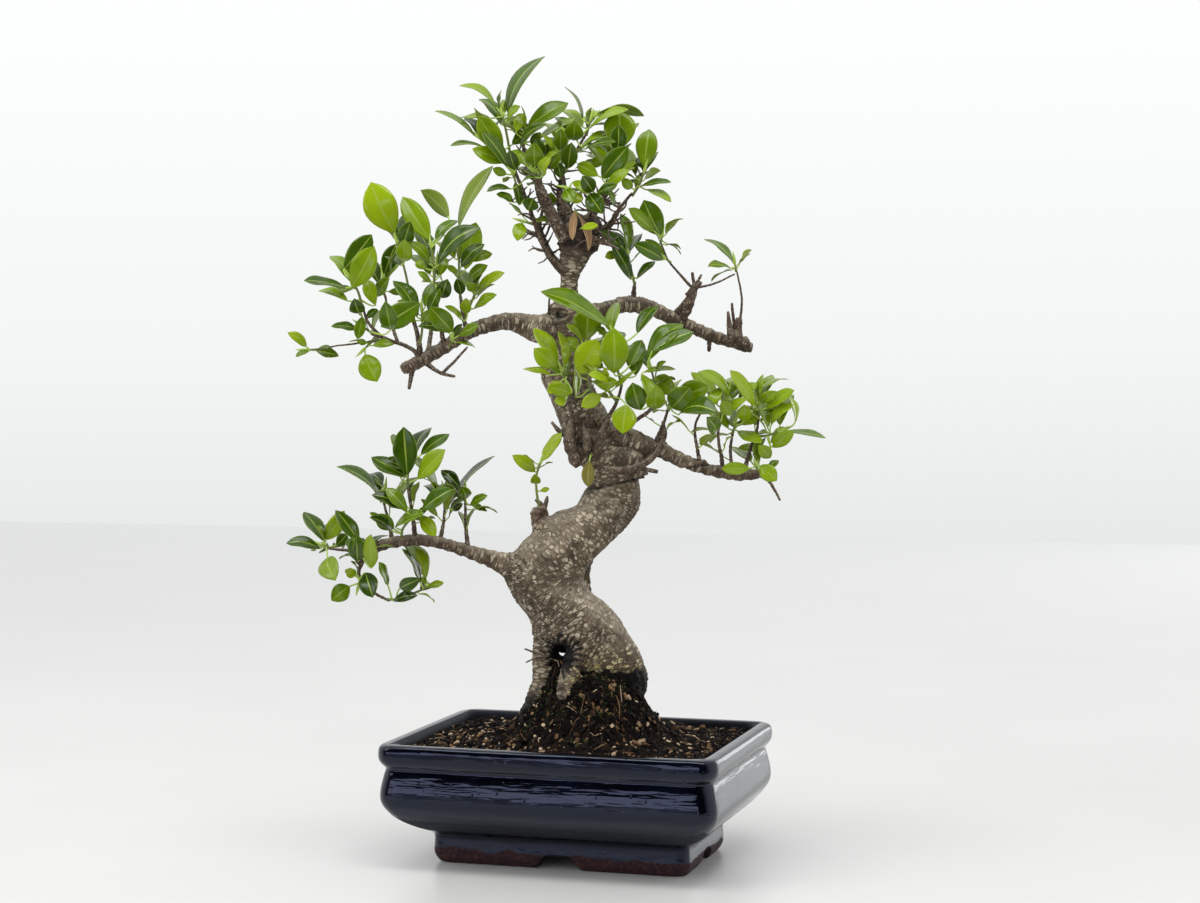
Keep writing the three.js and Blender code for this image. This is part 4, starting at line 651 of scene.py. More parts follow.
# %% Lines of the trunk and the limbs, in the plant's frame
# [height, left edge, right edge, middle in depth, half depth]
TRUNK = [
    [70, 2, 42, 2, 20], [110, -1, 47, 1, 23], [138, -4, 52.5, 0, 27], [150, -5, 50.5, -1, 29],
    [162, -7, 46, -2, 30], [172, -33, 40, -3, 31], [181, -36, 34.5, -3, 32], [190, -41, 28, -3, 32],
    [198, -47, 20, -3, 31], [206, -52, 10, -3, 30], [214, -56, 5, -3, 29], [222, -59, 5, -3, 29],
    [230, -56, 9.5, -3, 28], [238, -50, 15.5, -3, 28], [246, -44, 25, -2, 27], [254, -36, 34.5, -1, 26],
    [261, -31, 40.5, 0, 25], [267, -20, 45, 1, 24], [273, -3, 48, 2, 22], [281, 3, 49, 3, 21],
    [292, 9, 49, 3.5, 20], [303, 6, 48, 4, 20], [313, -4, 42, 4.5, 21], [325, -10, 34, 5, 21],
    [336, -14, 28, 6, 20], [346, -17, 23, 6.5, 19.5], [358, -22, 17, 7, 19], [370, -27.5, 11, 7, 18],
    [384, -28, 9, 7, 17.5], [398, -27, 9, 6, 17], [410, -24, 12, 5, 16.5], [420, -24, 12, 4.5, 15],
    [430, -20, 8, 4, 12], [437, -14, 2, 4, 9], [448, -13, 1, 3.5, 7.5], [460, -14, 6, 3, 9],
    [470, -13.5, 12, 2, 11], [480, -13, 17.5, 1, 14], [490, -14, 21, 0, 16], [498, -10, 16, 0, 11],
]

# [x, y, z, radius] along each limb
ROOTS = [
    [[-12, -4, 194, 16], [-22, -6, 176, 12], [-27, -8, 158, 9.5], [-28, -10, 138, 9.5],
     [-34, -13, 116, 11],
        [-41, -17, 94, 9], [-47, -19, 74, 6]],
    [[4, -16, 178, 12], [-4, -25, 154, 8], [-10, -31, 132, 8], [-6, -36, 112, 8], [2, -42, 92, 7],
     [6, -46, 74, 5]],
    [[30, -4, 154, 18], [38, -8, 130, 12], [43, -12, 108, 9], [52, -15, 90, 7], [60, -17, 74, 5]],
    [[12, 16, 178, 14], [10, 30, 148, 11], [5, 42, 118, 10], [-3, 53, 92, 8], [-7, 59, 74, 5]],
    [[26, 14, 154, 16], [36, 31, 122, 11], [48, 43, 94, 8], [54, 49, 74, 5]],
]

BRANCHES = [
    # Strand behind the waist, stub on the left shoulder, cut stubs and knots
    [[9, 14, 242, 8], [5, 18, 224, 5], [5, 19, 206, 5], [3, 15, 190, 8]],
    [[-22, -6, 250, 12], [-29, -8, 263, 8], [-30, -9, 274, 6]],
    [[30, -4, 308, 13], [42, -9, 311, 8], [52, -13, 305, 5]],
    [[38, -6, 303, 8], [52, -14, 298, 4.2]],
    [[2, -4, 332, 13], [-7, -12, 334, 9]],
    [[6, -8, 315, 9], [-4, -15, 313, 6]],
    [[10, -10, 326, 10], [14, -18, 330, 7]],
    # Upper left branch
    [[-2, 4, 402, 15], [-18, 2, 409, 12], [-31, -2, 411, 10.5], [-41, -4, 414.5, 8.5], [-52, -7, 417, 7],
        [-66, -10, 415, 6.2], [-83, -12, 409, 5.8], [-101, -13, 398, 5.4], [-118, -14, 388, 5],
        [-135, -14, 380, 4.5]],
    # Upper right branch
    [[-2, 6, 414, 12], [12, 9, 423, 8], [24, 12, 427, 6], [40, 16, 430, 6.8], [56, 18, 427.5, 6],
        [72, 20, 420, 5.6], [88, 22, 412.5, 5.2], [104, 24, 405.5, 5], [120, 26, 400, 4.6],
        [137, 28, 395, 4]],
    # Right branch
    [[18, 0, 324, 14], [34, -4, 328, 9], [50, -8, 322, 7.5], [64, -10, 317, 6.5], [91, -12, 305, 5.5],
        [121, -12, 298, 5], [141, -10, 298, 4]],
    # Lower left branch
    [[-34, -2, 218, 18], [-52, -5, 227, 11], [-66, -9, 233, 7], [-80, -12, 238, 5.5],
     [-107, -16, 247, 4.8],
        [-128, -18, 249, 4.6], [-149, -18, 246, 4.4], [-161, -16, 240, 3.6], [-171, -14, 231, 3]],
]

TWIGS = [
    # Upper left
    [[-126, -14, 384, 3.2], [-129, -15, 366, 2]],
    [[-117, -14, 386, 3.2], [-106, -18, 378, 2.2], [-94, -20, 375, 1.6]],
    [[-104, -18, 377, 2.1], [-92, -22, 388, 1.5], [-84, -25, 397, 1.2]],
    [[-124, -14, 383, 3.7], [-121, -16, 398, 2.9], [-126, -18, 422, 2.1]],
    [[-121, -15, 388, 3.2], [-127, -12, 396, 2.4], [-144, -11, 403, 2.1], [-158, -9, 408, 1.6]],
    [[-146, -10, 404, 1.9], [-157, -9, 402, 1.4], [-184, -6, 399, 1], [-203, -4, 396, 0.9]],
    [[-101, -13, 394, 3.4], [-104, -22, 412, 2.4], [-108, -26, 438, 1.7]],
    [[-83, -12, 404, 3.5], [-87, -6, 418, 2.4], [-90, -2, 436, 1.7]],
    [[-116, -13, 387, 3.4], [-114, 4, 406, 2.4], [-112, 16, 430, 1.7]],
    [[-150, -10, 405, 2.1], [-160, -17, 417, 1.7], [-164, -20, 430, 1.3]],
    [[-138, -11, 401, 2.1], [-145, 2, 420, 1.7], [-150, 10, 440, 1.3]],
    [[-22, 0, 416, 1.9], [-21, -3, 436, 1]],
    # Upper right
    [[74, 21, 418, 4], [84, 18, 431, 2.9], [91, 16, 442, 2.4], [90, 15, 454, 1.8]],
    [[90, 16, 440, 2.1], [97, 17, 452, 1.4]],
    [[91, 16, 441, 1.9], [80, 12, 453, 1.4], [71, 8, 464, 1.2], [65, 6, 478, 1]],
    [[91, 16, 442, 1.8], [108, 20, 446, 1.2], [123, 24, 453, 1]],
    [[122, 26, 401, 2.9], [123, 24, 412, 2.1], [121, 22, 430, 1.4]],
    [[124, 26, 402, 2.4], [128, 29, 418, 1.7], [129, 30, 438, 1.2], [125, 28, 457, 1]],
    [[104, 24, 405, 3.2], [103, 25, 393, 2]],
    [[44, 16, 435, 3.2], [45, 14, 447, 1.6]],
    # Right
    [[138, -10, 298, 2.7], [147, -9, 293, 1.9], [156, -8, 278, 1.2]],
    [[112, -12, 299, 3], [110, -16, 314, 2.1], [108, -18, 328, 1.7], [110, -20, 345, 1.3]],
    [[128, -12, 298, 2.9], [132, -10, 314, 2.1], [138, -8, 330, 1.6], [140, -8, 345, 1.2]],
    [[121, -12, 298, 2.7], [118, -4, 312, 1.9], [120, 2, 330, 1.4]],
    [[95, -12, 303, 2.9], [92, -18, 318, 1.9], [90, -20, 334, 1.5], [96, -22, 350, 1.2]],
    [[60, -10, 318, 4], [63, -14, 330, 2.4], [67, -17, 340, 1.8], [70, -18, 350, 1.4]],
    # Middle, in front of the trunk
    [[0, -12, 336, 4.8], [-4, -24, 346, 2.7], [-6, -34, 358, 2], [-8, -40, 371, 1.4]],
    [[10, -14, 336, 4.4], [11, -26, 349, 2.4], [12, -36, 361, 1.7]],
    [[17, -12, 334, 4.4], [25, -22, 345, 2.6], [31, -30, 357, 1.9], [34, -34, 369, 1.4]],
    [[24, -6, 328, 5.2], [40, -16, 337, 2.7], [54, -22, 347, 2.1], [64, -24, 356, 1.5]],
    [[4, 20, 360, 4.8], [9, 33, 371, 2.6], [12, 42, 383, 1.7]],
    # Lower left
    [[-166, -15, 234, 2.6], [-169, -16, 221, 2], [-156, -20, 208, 1.7], [-146, -22, 203, 1.4]],
    [[-158, -16, 241, 2.6], [-178, -12, 241, 1.8], [-193, -8, 242, 1.3]],
    [[-143, -18, 247, 2.9], [-146, -14, 262, 1.9], [-150, -10, 278, 1.4]],
    [[-125, -18, 249, 3], [-127, -22, 268, 2.2], [-130, -26, 291, 1.5]],
    [[-107, -16, 247, 2.9], [-104, -12, 262, 1.8], [-103, -10, 274, 1.4]],
    [[-85, -13, 240, 3], [-87, -10, 260, 2], [-87, -8, 278, 1.4]],
    # Crown
    [[-8, 0, 454, 4.4], [-20, -4, 465, 3], [-27, -6, 478, 2.7], [-32, -8, 492, 2.4], [-38, -9, 510, 2.1],
        [-46, -8, 530, 1.8], [-50, -6, 544, 1.4]],
    [[-12, 0, 458, 3.6], [-21, 4, 472, 2.4], [-28, 6, 490, 2], [-26, 8, 505, 1.6]],
    [[-8, -6, 480, 6.4], [-18, -10, 497, 4.8], [-26, -12, 513, 4.3], [-30, -12, 526, 3.5]],
    [[-29, -11, 520, 2.7], [-35, -8, 538, 1.8], [-40, -4, 551, 1.4]],
    [[-6, 2, 488, 6.4], [-11, 4, 506, 4.3], [-13, 5, 519, 3], [-9, 6, 534, 2.2], [0, 5, 548, 1.8],
     [8, 5, 562, 1.4]],
    [[4, -2, 488, 5.6], [13, -8, 499, 3.6], [20, -10, 508, 2.4], [26, -12, 516, 1.6]],
    [[6, 2, 486, 6.4], [22, 4, 488, 3.8], [29, 5, 496, 2.7], [35, 4, 506, 2.1], [43, 2, 515, 1.5]],
    [[6, -6, 482, 4], [22, -14, 476, 2], [32, -18, 472, 1.2]],
    [[-4, 8, 488, 5.6], [-5, 24, 501, 3.2], [-8, 34, 516, 2.2], [-10, 40, 531, 1.6]],
    [[4, 8, 490, 4.8], [16, 24, 506, 2.7], [22, 34, 521, 1.8]],
]

KNOT_HOLE_CENTRE = [-15.5, -11, 421.5]
KNOT_HOLE_HALVES = [8, 7, 4.2]
print("roots, branches, twigs", len(ROOTS), len(BRANCHES), len(TWIGS))

# %% Smooth lines
def smooth_line(points, step):
    """Points on a soft curve through the given ones (all their numbers), about a step apart."""
    points = np.array(points, dtype=float)
    ends = np.vstack([2 * points[0] - points[1], points, 2 * points[-1] - points[-2]])
    line = []
    for k in range(1, len(ends) - 2):
        before, start, end, after = ends[k - 1 : k + 3]
        count = max(1, round(float(np.linalg.norm((end - start)[:3])) / step))
        for t in np.arange(count) / count:
            line.append(
                0.5 * (2 * start + (end - before) * t + (2 * before - 5 * start + 4 * end - after) * t * t
                       + (3 * start - before - 3 * end + after) * t ** 3)
            )
    return np.vstack([line, points[-1:]])


def frames_along(line):
    """At each point of a line: its direction and two directions square to it that don't twist."""
    heading = np.gradient(line[:, :3], axis=0)
    heading /= np.linalg.norm(heading, axis=1)[:, None]
    start = np.array((0.0, 1.0, 0.0)) if abs(heading[0, 1]) < 0.9 else np.array((1.0, 0.0, 0.0))
    side = np.cross(start, heading[0])
    sides = []
    for direction in heading:
        side = side - direction * side.dot(direction)
        side /= np.linalg.norm(side)
        sides.append(side)
    sides = np.array(sides)
    return heading, sides, np.cross(heading, sides)


# %% Rolled tubes
tube_plans = {}


def roll_plan(rows, sides):
    """Rolls a flat grid into a closed upright tube and notes where each of its points came from."""
    angle = np.linspace(0, 2 * math.pi, sides, endpoint=False)
    ring = np.column_stack([np.cos(angle), np.sin(angle)])
    rings = np.array([np.column_stack([ring, np.full(sides, height)]) for height in range(rows)])
    deselect()
    bpy.ops.mesh.primitive_grid_add(x_subdivisions=sides, y_subdivisions=rows - 1, size=2)
    tube = bpy.context.object
    move_points(tube.data, np.concatenate([rings, rings[:, :1]], axis=1).reshape(-1, 3))
    bpy.ops.object.mode_set(mode="EDIT")
    bpy.ops.mesh.select_all(action="SELECT")
    bpy.ops.mesh.remove_doubles(threshold=1e-5)
    bpy.ops.mesh.fill_holes(sides=0)
    bpy.ops.mesh.select_all(action="SELECT")
    bpy.ops.mesh.normals_make_consistent(inside=False)
    bpy.ops.object.mode_set(mode="OBJECT")
    corners = KDTree(rows * sides)
    for k, place in enumerate(rings.reshape(-1, 3)):
        corners.insert(place, k)
    corners.balance()
    order = [corners.find(vertex.co)[1] for vertex in tube.data.vertices]
    plan = tube.data
    bpy.data.objects.remove(tube)
    return plan, order


def roll(name, rings):
    """A closed tube whose rings of points are given. Each length of tube is rolled once and copied."""
    rings = np.asarray(rings, dtype=float)
    size = rings.shape[:2]
    if size not in tube_plans:
        tube_plans[size] = roll_plan(*size)
    plan, order = tube_plans[size]
    tube = bpy.data.objects.new(name, plan.copy())
    bpy.context.scene.collection.objects.link(tube)
    move_points(tube.data, rings.reshape(-1, 3)[order])
    return tube


def limb_rings(line, sides):
    """Round rings along a line whose fourth number is the radius."""
    _, side, other = frames_along(line)
    angle = np.linspace(0, 2 * math.pi, sides, endpoint=False)
    ring = side[:, None] * np.cos(angle)[None, :, None] + other[:, None] * np.sin(angle)[None, :, None]
    return line[:, None, :3] + ring * line[:, None, 3:4]


# %% Sections of the trunk, and all lines
TRUNK_RING = 48
trunk_line = smooth_line(TRUNK, 2.5)


def trunk_rings():
    """The trunk's fluted sections, from its row of heights, edges and depths."""
    angle = np.linspace(0, 2 * math.pi, TRUNK_RING, endpoint=False)
    rings = []
    for height, left, right, depth, half_depth in trunk_line:
        flute = 1 + 0.03 * np.sin(3 * angle + height / 17) + 0.025 * np.sin(5 * angle - height / 11)
        x = (left + right) / 2 + (right - left) / 2 * flute * np.cos(angle)
        y = depth + half_depth * flute * np.sin(angle)
        rings.append(np.column_stack([x, y, np.full(TRUNK_RING, height)]))
    return rings


root_lines = [smooth_line(points, 3) for points in ROOTS]
branch_lines = [smooth_line(points, 3) for points in BRANCHES]
# The bark of the crown's limbs shrank as they died back, so they are slimmer than their solids
for line in branch_lines:
    line[:, 3] *= 1 - 0.24 * np.clip((line[:, 2] - 480) / 25, 0, 1)
twig_lines = [smooth_line(points, 2) for points in TWIGS]
print("lines", len(root_lines) + len(branch_lines) + len(twig_lines) + 1)


# %% Melt the trunk, the roots and the branches into one body
VOXEL = 1.4
tubes = [roll("trunk", trunk_rings())]
tubes += [roll("root", limb_rings(line, 24)) for line in root_lines]
tubes += [roll("branch", limb_rings(line, 20)) for line in branch_lines]
tree = join(tubes, "tree_bark")
modify(tree, "REMESH", mode="VOXEL", voxel_size=VOXEL)
modify(tree, "SMOOTH", factor=0.5, iterations=5)
print("melted faces", len(tree.data.polygons))

# %% [markdown]
# ## Bark that follows each limb
#
# Bark grows in rings round every limb, so its wrinkles and flecks turn with the wood at each fork. Plain
# object coordinates can't know that. Each point therefore keeps three numbers that its nearest limb
# gives: how far along the limb it lies, and where in the limb's section.

# %% Find each point's place on its limb
all_lines = [np.column_stack([
    (trunk_line[:, 1] + trunk_line[:, 2]) / 2, trunk_line[:, 3], trunk_line[:, 0],
    ((trunk_line[:, 2] - trunk_line[:, 1]) / 2 + trunk_line[:, 4]) / 2,
])]
all_lines += root_lines + branch_lines


def limb_places(points, lines):
    """For each point: place along and across its nearest limb, and the limb's radius."""
    best = np.full(len(points), np.inf)
    result = np.zeros((len(points), 4))
    for number, line in enumerate(lines):
        heading, side, other = frames_along(line)
        steps = np.linalg.norm(np.diff(line[:, :3], axis=0), axis=1)
        far = np.concatenate([[0], np.cumsum(steps)]) + 137 * number
        tree_of_line = KDTree(len(line))
        for k, place in enumerate(line):
            tree_of_line.insert(place[:3], k)
        tree_of_line.balance()
        reach = line[:, 3].max() + 30
        low, high = line[:, :3].min(axis=0) - reach, line[:, :3].max(axis=0) + reach
        near = np.flatnonzero(((points > low) & (points < high)).all(axis=1))
        if not len(near):
            continue
        nearest = np.array([tree_of_line.find(points[k])[1] for k in near])
        offset = points[near] - line[nearest, :3]
        out = np.linalg.norm(offset, axis=1) - line[nearest, 3]
        closer = out < best[near]
        chosen, row = near[closer], nearest[closer]
        best[chosen] = out[closer]
        offset = offset[closer]
        result[chosen, 0] = (offset * side[row]).sum(axis=1)
        result[chosen, 1] = (offset * other[row]).sum(axis=1)
        result[chosen, 2] = far[row] + (offset * heading[row]).sum(axis=1)
        result[chosen, 3] = line[row, 3]
    return result


def waves(points, size, seed=0.0):
    """Soft noise from about -1 to 1 with lumps of a given size in millimetres."""
    return np.array([noise.noise(Vector(place) / size + Vector((seed, seed, seed))) for place in points])


def rise(values, low, high):
    """0 below low, 1 above high and a soft step between."""
    share = np.clip((np.asarray(values, dtype=float) - low) / (high - low), 0, 1)
    return share * share * (3 - 2 * share)


skin = points_of(tree.data)
on_limb = limb_places(skin, all_lines)
print("bark points", len(skin), "widest limb", round(float(on_limb[:, 3].max()), 1))

# %% [markdown]
# ### Relief of the bark
#
# Near the eye the trunk is lumpy, with muscles along it and fine rings across it, and it bears its
# history: a wire's groove, a swirl where a branch grew over, broken stubs and a crust of peat. It could be
# sculpted by hand. Here each mark is a height in millimetres, and all heights move the points outwards.

# %% Lumps, muscles and rings
RING_PITCH = 2.8
normals = np.empty(len(skin) * 3)
tree.data.vertices.foreach_get("normal", normals)
normals = normals.reshape(-1, 3)
along, thick = on_limb[:, 2], on_limb[:, 3]
stretched = np.column_stack([on_limb[:, 0] / 8, on_limb[:, 1] / 8, along / 45])
lumps = waves(skin, 24) * np.minimum(1, thick / 22) * 1.6
muscles = waves(stretched, 1, 5) * np.minimum(1, thick / 14) * 1.3
ring_mask = rise(waves(skin, 26, 9), -0.25, 0.3)
left_root = rise(-skin[:, 0], 14, 22) * rise(skin[:, 2], 120, 135) * rise(-skin[:, 2], -195, -175)
ring_mask = np.maximum(ring_mask, left_root)
rings = np.sin((along + 2.2 * waves(skin, 9, 3)) * 2 * math.pi / RING_PITCH) * 0.42 * ring_mask
rings *= 0.6 + 0.4 * rise(thick, 6.5, 10)
knuckles = np.sin((along + 2 * waves(skin, 12, 4)) * 2 * math.pi / 8.5) * 0.35 * rise(-thick, -9, -6)
grit = waves(skin, 3.2, 7) * 0.5
x, y, z = skin.T
front = rise(-y, -4, 2)
print("rings up to", round(float(np.abs(rings).max()), 2), "mm high")

# %% Marks of the tree's life
# Heights and middles, x and z, in the plant's frame
WIRE_HEIGHT, WIRE_SLOPE, WIRE_LEFT = 287.5, 0.21, 10
SWIRL_X, SWIRL_Z = -47, 222
STUB_X, STUB_Z = -30, 274
CUT_HEIGHTS = (302, 310, 336, 352)
CROWN_KNOT_HEIGHTS = (462, 474, 494, 506)
PEAT_LINE = 150
# A wire has bitten into the neck: a groove with a lip above it
wire = z - (WIRE_HEIGHT + WIRE_SLOPE * (x - WIRE_LEFT))
wire_bite = (1.3 * np.exp(-((wire - 2.4) / 1.1) ** 2) - 1.7 * np.exp(-(wire / 0.9) ** 2)) * front
wire_bite = wire_bite * rise(x, 2, WIRE_LEFT)
# The scar beside the lowest branch is a swirl of raised rings
swirl = np.hypot((x - SWIRL_X) / 7, (z - SWIRL_Z) / 10)
swirl_turn = np.arctan2(z - SWIRL_Z, x - SWIRL_X)
swirl_rise = np.cos(swirl * 2 * math.pi * 1.4 - swirl_turn) * rise(-swirl, -1.9, -1.1) * 0.8
# Where old branches were cut, the wood is broken and rough
stub = rise(-np.hypot(x - STUB_X, z - STUB_Z), -14, -8)
low, low_full, high_full, high = CUT_HEIGHTS
cut = rise(z, low, low_full) * rise(-z, -high, -high_full) * rise(-y, -2, 6)
low, low_full, high_full, high = CROWN_KNOT_HEIGHTS
knot = rise(z, low, low_full) * rise(-z, -high, -high_full)
scar = np.clip(stub + 0.6 * cut * rise(waves(skin, 11, 21), -0.1, 0.25) + knot, 0, 1)
broken = scar * (waves(skin, 6, 22) * 2.6 + waves(skin, 2.6, 23) * 1.4)
# Peat and fine roots crust the wood near the soil; on the right a lip of bark hangs over them
ragged = waves(skin, 7, 31)
buried = rise(-z + 9 * ragged, -PEAT_LINE, 32 - PEAT_LINE)
under_lip = rise(-z + 3 * ragged, -PEAT_LINE - 1, 5 - PEAT_LINE) * rise(x, -2, 5) * front
buried = np.maximum(buried, under_lip)
crust = buried * (waves(skin, 4.5, 24) * 1.6 + waves(skin, 2.2, 25) * 1.2) - 1.2 * under_lip
skin = skin + normals * (
    lumps + muscles + rings + knuckles + grit + wire_bite + swirl_rise * front + broken + crust
)[:, None]
print("crust up to", round(float(crust.max()), 1), "mm high")

# %% The hollow knot
# The hollow knot in the fork is pressed in from the front, to the back of its oval
hole = (skin - KNOT_HOLE_CENTRE) / KNOT_HOLE_HALVES
flat = hole[:, 0] ** 2 + hole[:, 2] ** 2
inside = (flat < 1) & (hole[:, 1] < 0.6) & (hole[:, 1] > -2.2)
depth = KNOT_HOLE_CENTRE[1] + 0.6 * KNOT_HOLE_HALVES[1] * np.sqrt(np.clip(1 - flat, 0, 1))
# Living bark has rolled a lip round it
callus = 1.7 * np.exp(-((np.sqrt(flat) - 1.3) / 0.2) ** 2) * (np.abs(hole[:, 1]) < 2.2) * front
skin = skin + normals * callus[:, None]
skin[inside, 1] = np.maximum(skin[inside, 1], depth[inside])
move_points(tree.data, skin)
print("points in the hollow knot", int(inside.sum()))

# %% Numbers for the bark's finish
# Flecks lie across a limb, the more so the thinner it is
across = 0.36 + 0.22 * rise(thick, 9, 22)
note(tree.data, "bark_place", np.column_stack([on_limb[:, 0] * across, on_limb[:, 1] * across, along]))
note(tree.data, "limb_size", thick)
# Dark rays reach up round the hollow between the roots
HOLLOW_X, HOLLOW_Z = -12, 160
FRONT_ROOT_X, FRONT_ROOT_Z = -3, 127
hollow = np.hypot((x - HOLLOW_X) / 13, (z - HOLLOW_Z) / 15)
rays = np.sin(np.arctan2(z - HOLLOW_Z, x - HOLLOW_X) * 19 + 4 * waves(skin, 6, 32))
dark_round_roots = np.maximum(buried, rise(-hollow + 0.35 * rays, -1.15, -0.85) * front)
# Painted shade along the wire's groove
painted_groove_shade = np.exp(-(wire / 1.3) ** 2) * front * rise(x, 2, 10) * 0.8
# Painted shade inside the hollow knot
painted_hole_shade = rise(-flat, -1.2, -0.3) * inside * 0.8
front_root = rise(-np.hypot((x - FRONT_ROOT_X) / 9, (z - FRONT_ROOT_Z) / 24), -1.2, -0.8)
front_root = front_root * rise(-y, 14, 20)
dark_round_roots = dark_round_roots * (1 - 0.8 * front_root * rise(ragged, -0.35, 0.1))
# The crown's knot is darker in patches
knot_dark = knot * (0.3 + 0.5 * rise(waves(skin, 6, 33), -0.2, 0.3))
note(tree.data, "earth", np.clip(dark_round_roots + painted_groove_shade + painted_hole_shade + knot_dark, 0, 1))
lip = rise(-z, -172, -152) * rise(z, 128, 140) * rise(x, -8, 8)
note(tree.data, "lichen", np.clip(lip + front_root, 0, 1))
note(tree.data, "scar", scar)
wear(tree, bark)
settle(tree, PLANT_FRAME, ["tree"])

# %% [markdown]
# ## Twigs, stubs and the crown's thicket
#
# Brown twigs carry swollen nodes where leaves once stood, cut and broken stubs stay round the trunk's
# thick part, and fine dead twiglets fill the crown. They are too thin for the voxels of the big body, so
# they are rolled tubes that start inside the wood. The stubs are listed one by one, the twiglets wander.

# %% Twigs
NODE_PITCH = 8.5
twig_tubes = []
for number, line in enumerate(twig_lines):
    steps = np.linalg.norm(np.diff(line[:, :3], axis=0), axis=1)
    far = np.concatenate([[0], np.cumsum(steps)])
    swelling = 1 + 0.22 * np.cos(2 * math.pi * far / NODE_PITCH + number) ** 8 * (far > 3)
    wander = 0.5 * np.column_stack([waves(line[:, :3], 7, 11 + k) for k in range(3)])
    wander *= np.minimum(1, far / 6)[:, None]
    slim = 0.66 + 0.34 * rise(line[:, 3], 2.4, 4.5)
    line = np.column_stack([line[:, :3] + wander, line[:, 3] * swelling * slim])
    tip = line[-1].copy()
    tip[:3] += (line[-1, :3] - line[-2, :3]) * 0.4
    tip[3] *= 0.55
    tube = roll("twig", limb_rings(np.vstack([line, tip]), 9))
    twig_tubes.append(tube)
print("twigs", len(twig_tubes))

# %% Stubs
# [x, y, z, radius] in the plant's frame
STUBS = [
    [[65.7, -18, 339.7, 1.3], [66.4, -20, 328.2, 2.2], [61, -22, 315.9, 2.4], [50.2, -25, 306.8, 2.6],
     [34, -27, 302.2, 3], [20.2, -24, 303.9, 2]],
    [[48, -12, 331, 1.1], [57.1, -15, 319, 1.7], [55.5, -17, 308.3, 1.9]],
    [[42, -14, 304.5, 2.4], [54, -15, 302.1, 1.9], [61.7, -15, 300.5, 1.5]],
    [[-4, -15, 339, 3.4], [-6, -21, 326, 4.8], [-3, -23, 313, 4.6], [1, -23, 305.5, 2.8]],
    [[24, -23, 342, 1.6], [18, -25, 329, 3.4], [13, -23, 316, 3.4]],
    [[5, -22, 334, 2], [8, -25, 325, 3.4], [6, -23, 316, 3.2]],
    [[-20, -8, 339, 1.2], [-13.5, -11, 331.7, 2.2], [-6, -12, 327, 2.4]],
    [[50, -10, 309, 2.4], [58, -8, 317, 2], [69, -6, 322, 1.3]],
    [[-33, -2, 279, 1.2], [-29, -3, 275, 2.6], [-27, -3, 270, 3]],
    [[-24, 2, 281, 0.9], [-25, 0, 276, 2], [-27, -1, 271, 2.4]],
    [[-22, -14, 160, 1], [-31, -16, 160.5, 0.9], [-42, -17, 164.5, 0.7]],
    [[124, 24, 396, 4.6], [125, 25, 402, 5], [126, 26, 409, 3.4], [127, 27, 419, 2.3]],
    [[118, 21, 398, 3.6], [120, 19, 404, 3.4], [119, 20, 413, 2.4], [118, 21, 424, 1.1]],
    [[130, 27, 395, 4.4], [132, 24, 399, 3.8], [131, 25, 404, 2.4]],
    [[82, 20, 418, 4.2], [86, 18, 427, 4.2], [90, 16, 438, 3.3], [92, 16, 446, 1.9]],
    [[97, 17, 447, 1.2], [91, 16, 441, 2.6], [86, 17, 436, 3]],
    [[-24, -16, 158, 1], [-32, -18, 158, 0.8], [-41, -18, 154, 0.6]],
]
for points in STUBS:
    stub = smooth_line(points, 2)
    stub[:, 3] *= 1 + 0.3 * waves(stub[:, :3], 4, 41)
    twig_tubes.append(roll("stub", limb_rings(stub, 9)))
print("twigs and stubs", len(twig_tubes))

# %% Twiglets round the crown's knot
thicket = random.Random(5)
CROWN_FROM = 450
crown_lines = [line for line in twig_lines + branch_lines if line[:, 2].max() > CROWN_FROM + 20]
crown_lines = [line[(line[:, 2] > CROWN_FROM) & (np.abs(line[:, 0]) < 48)] for line in crown_lines]
crown_lines = [line for line in crown_lines if len(line) > 6]
TWIGLETS = 150
for _ in range(TWIGLETS):
    line = thicket.choice(crown_lines)
    start = line[thicket.randrange(len(line) // 4, len(line) * 3 // 4)]
    heading = np.array((thicket.uniform(-1, 1), thicket.uniform(-1, 0.8), thicket.uniform(-0.2, 1)))
    heading /= np.linalg.norm(heading)
    place, points = start[:3], []
    for k in range(5):
        points.append([*place, 1.05 - 0.15 * k])
        heading = heading + np.array([thicket.uniform(-0.45, 0.45) for _ in range(3)])
        heading /= np.linalg.norm(heading)
        place = place + heading * thicket.uniform(3, 5.5)
    twig_tubes.append(roll("twiglet", limb_rings(smooth_line(points, 2.5), 6)))
print("with twiglets", len(twig_tubes))

# %% One piece for all twigs
twigs = join(twig_tubes, "twig_bark")
places = points_of(twigs.data)
on_twig = limb_places(places, twig_lines)
note(twigs.data, "bark_place", on_twig[:, :3])
note(twigs.data, "limb_size", on_twig[:, 3])
for name in ("earth", "lichen", "scar"):
    note(twigs.data, name, np.zeros(len(places)))
wear(twigs, bark)
settle(twigs, PLANT_FRAME)
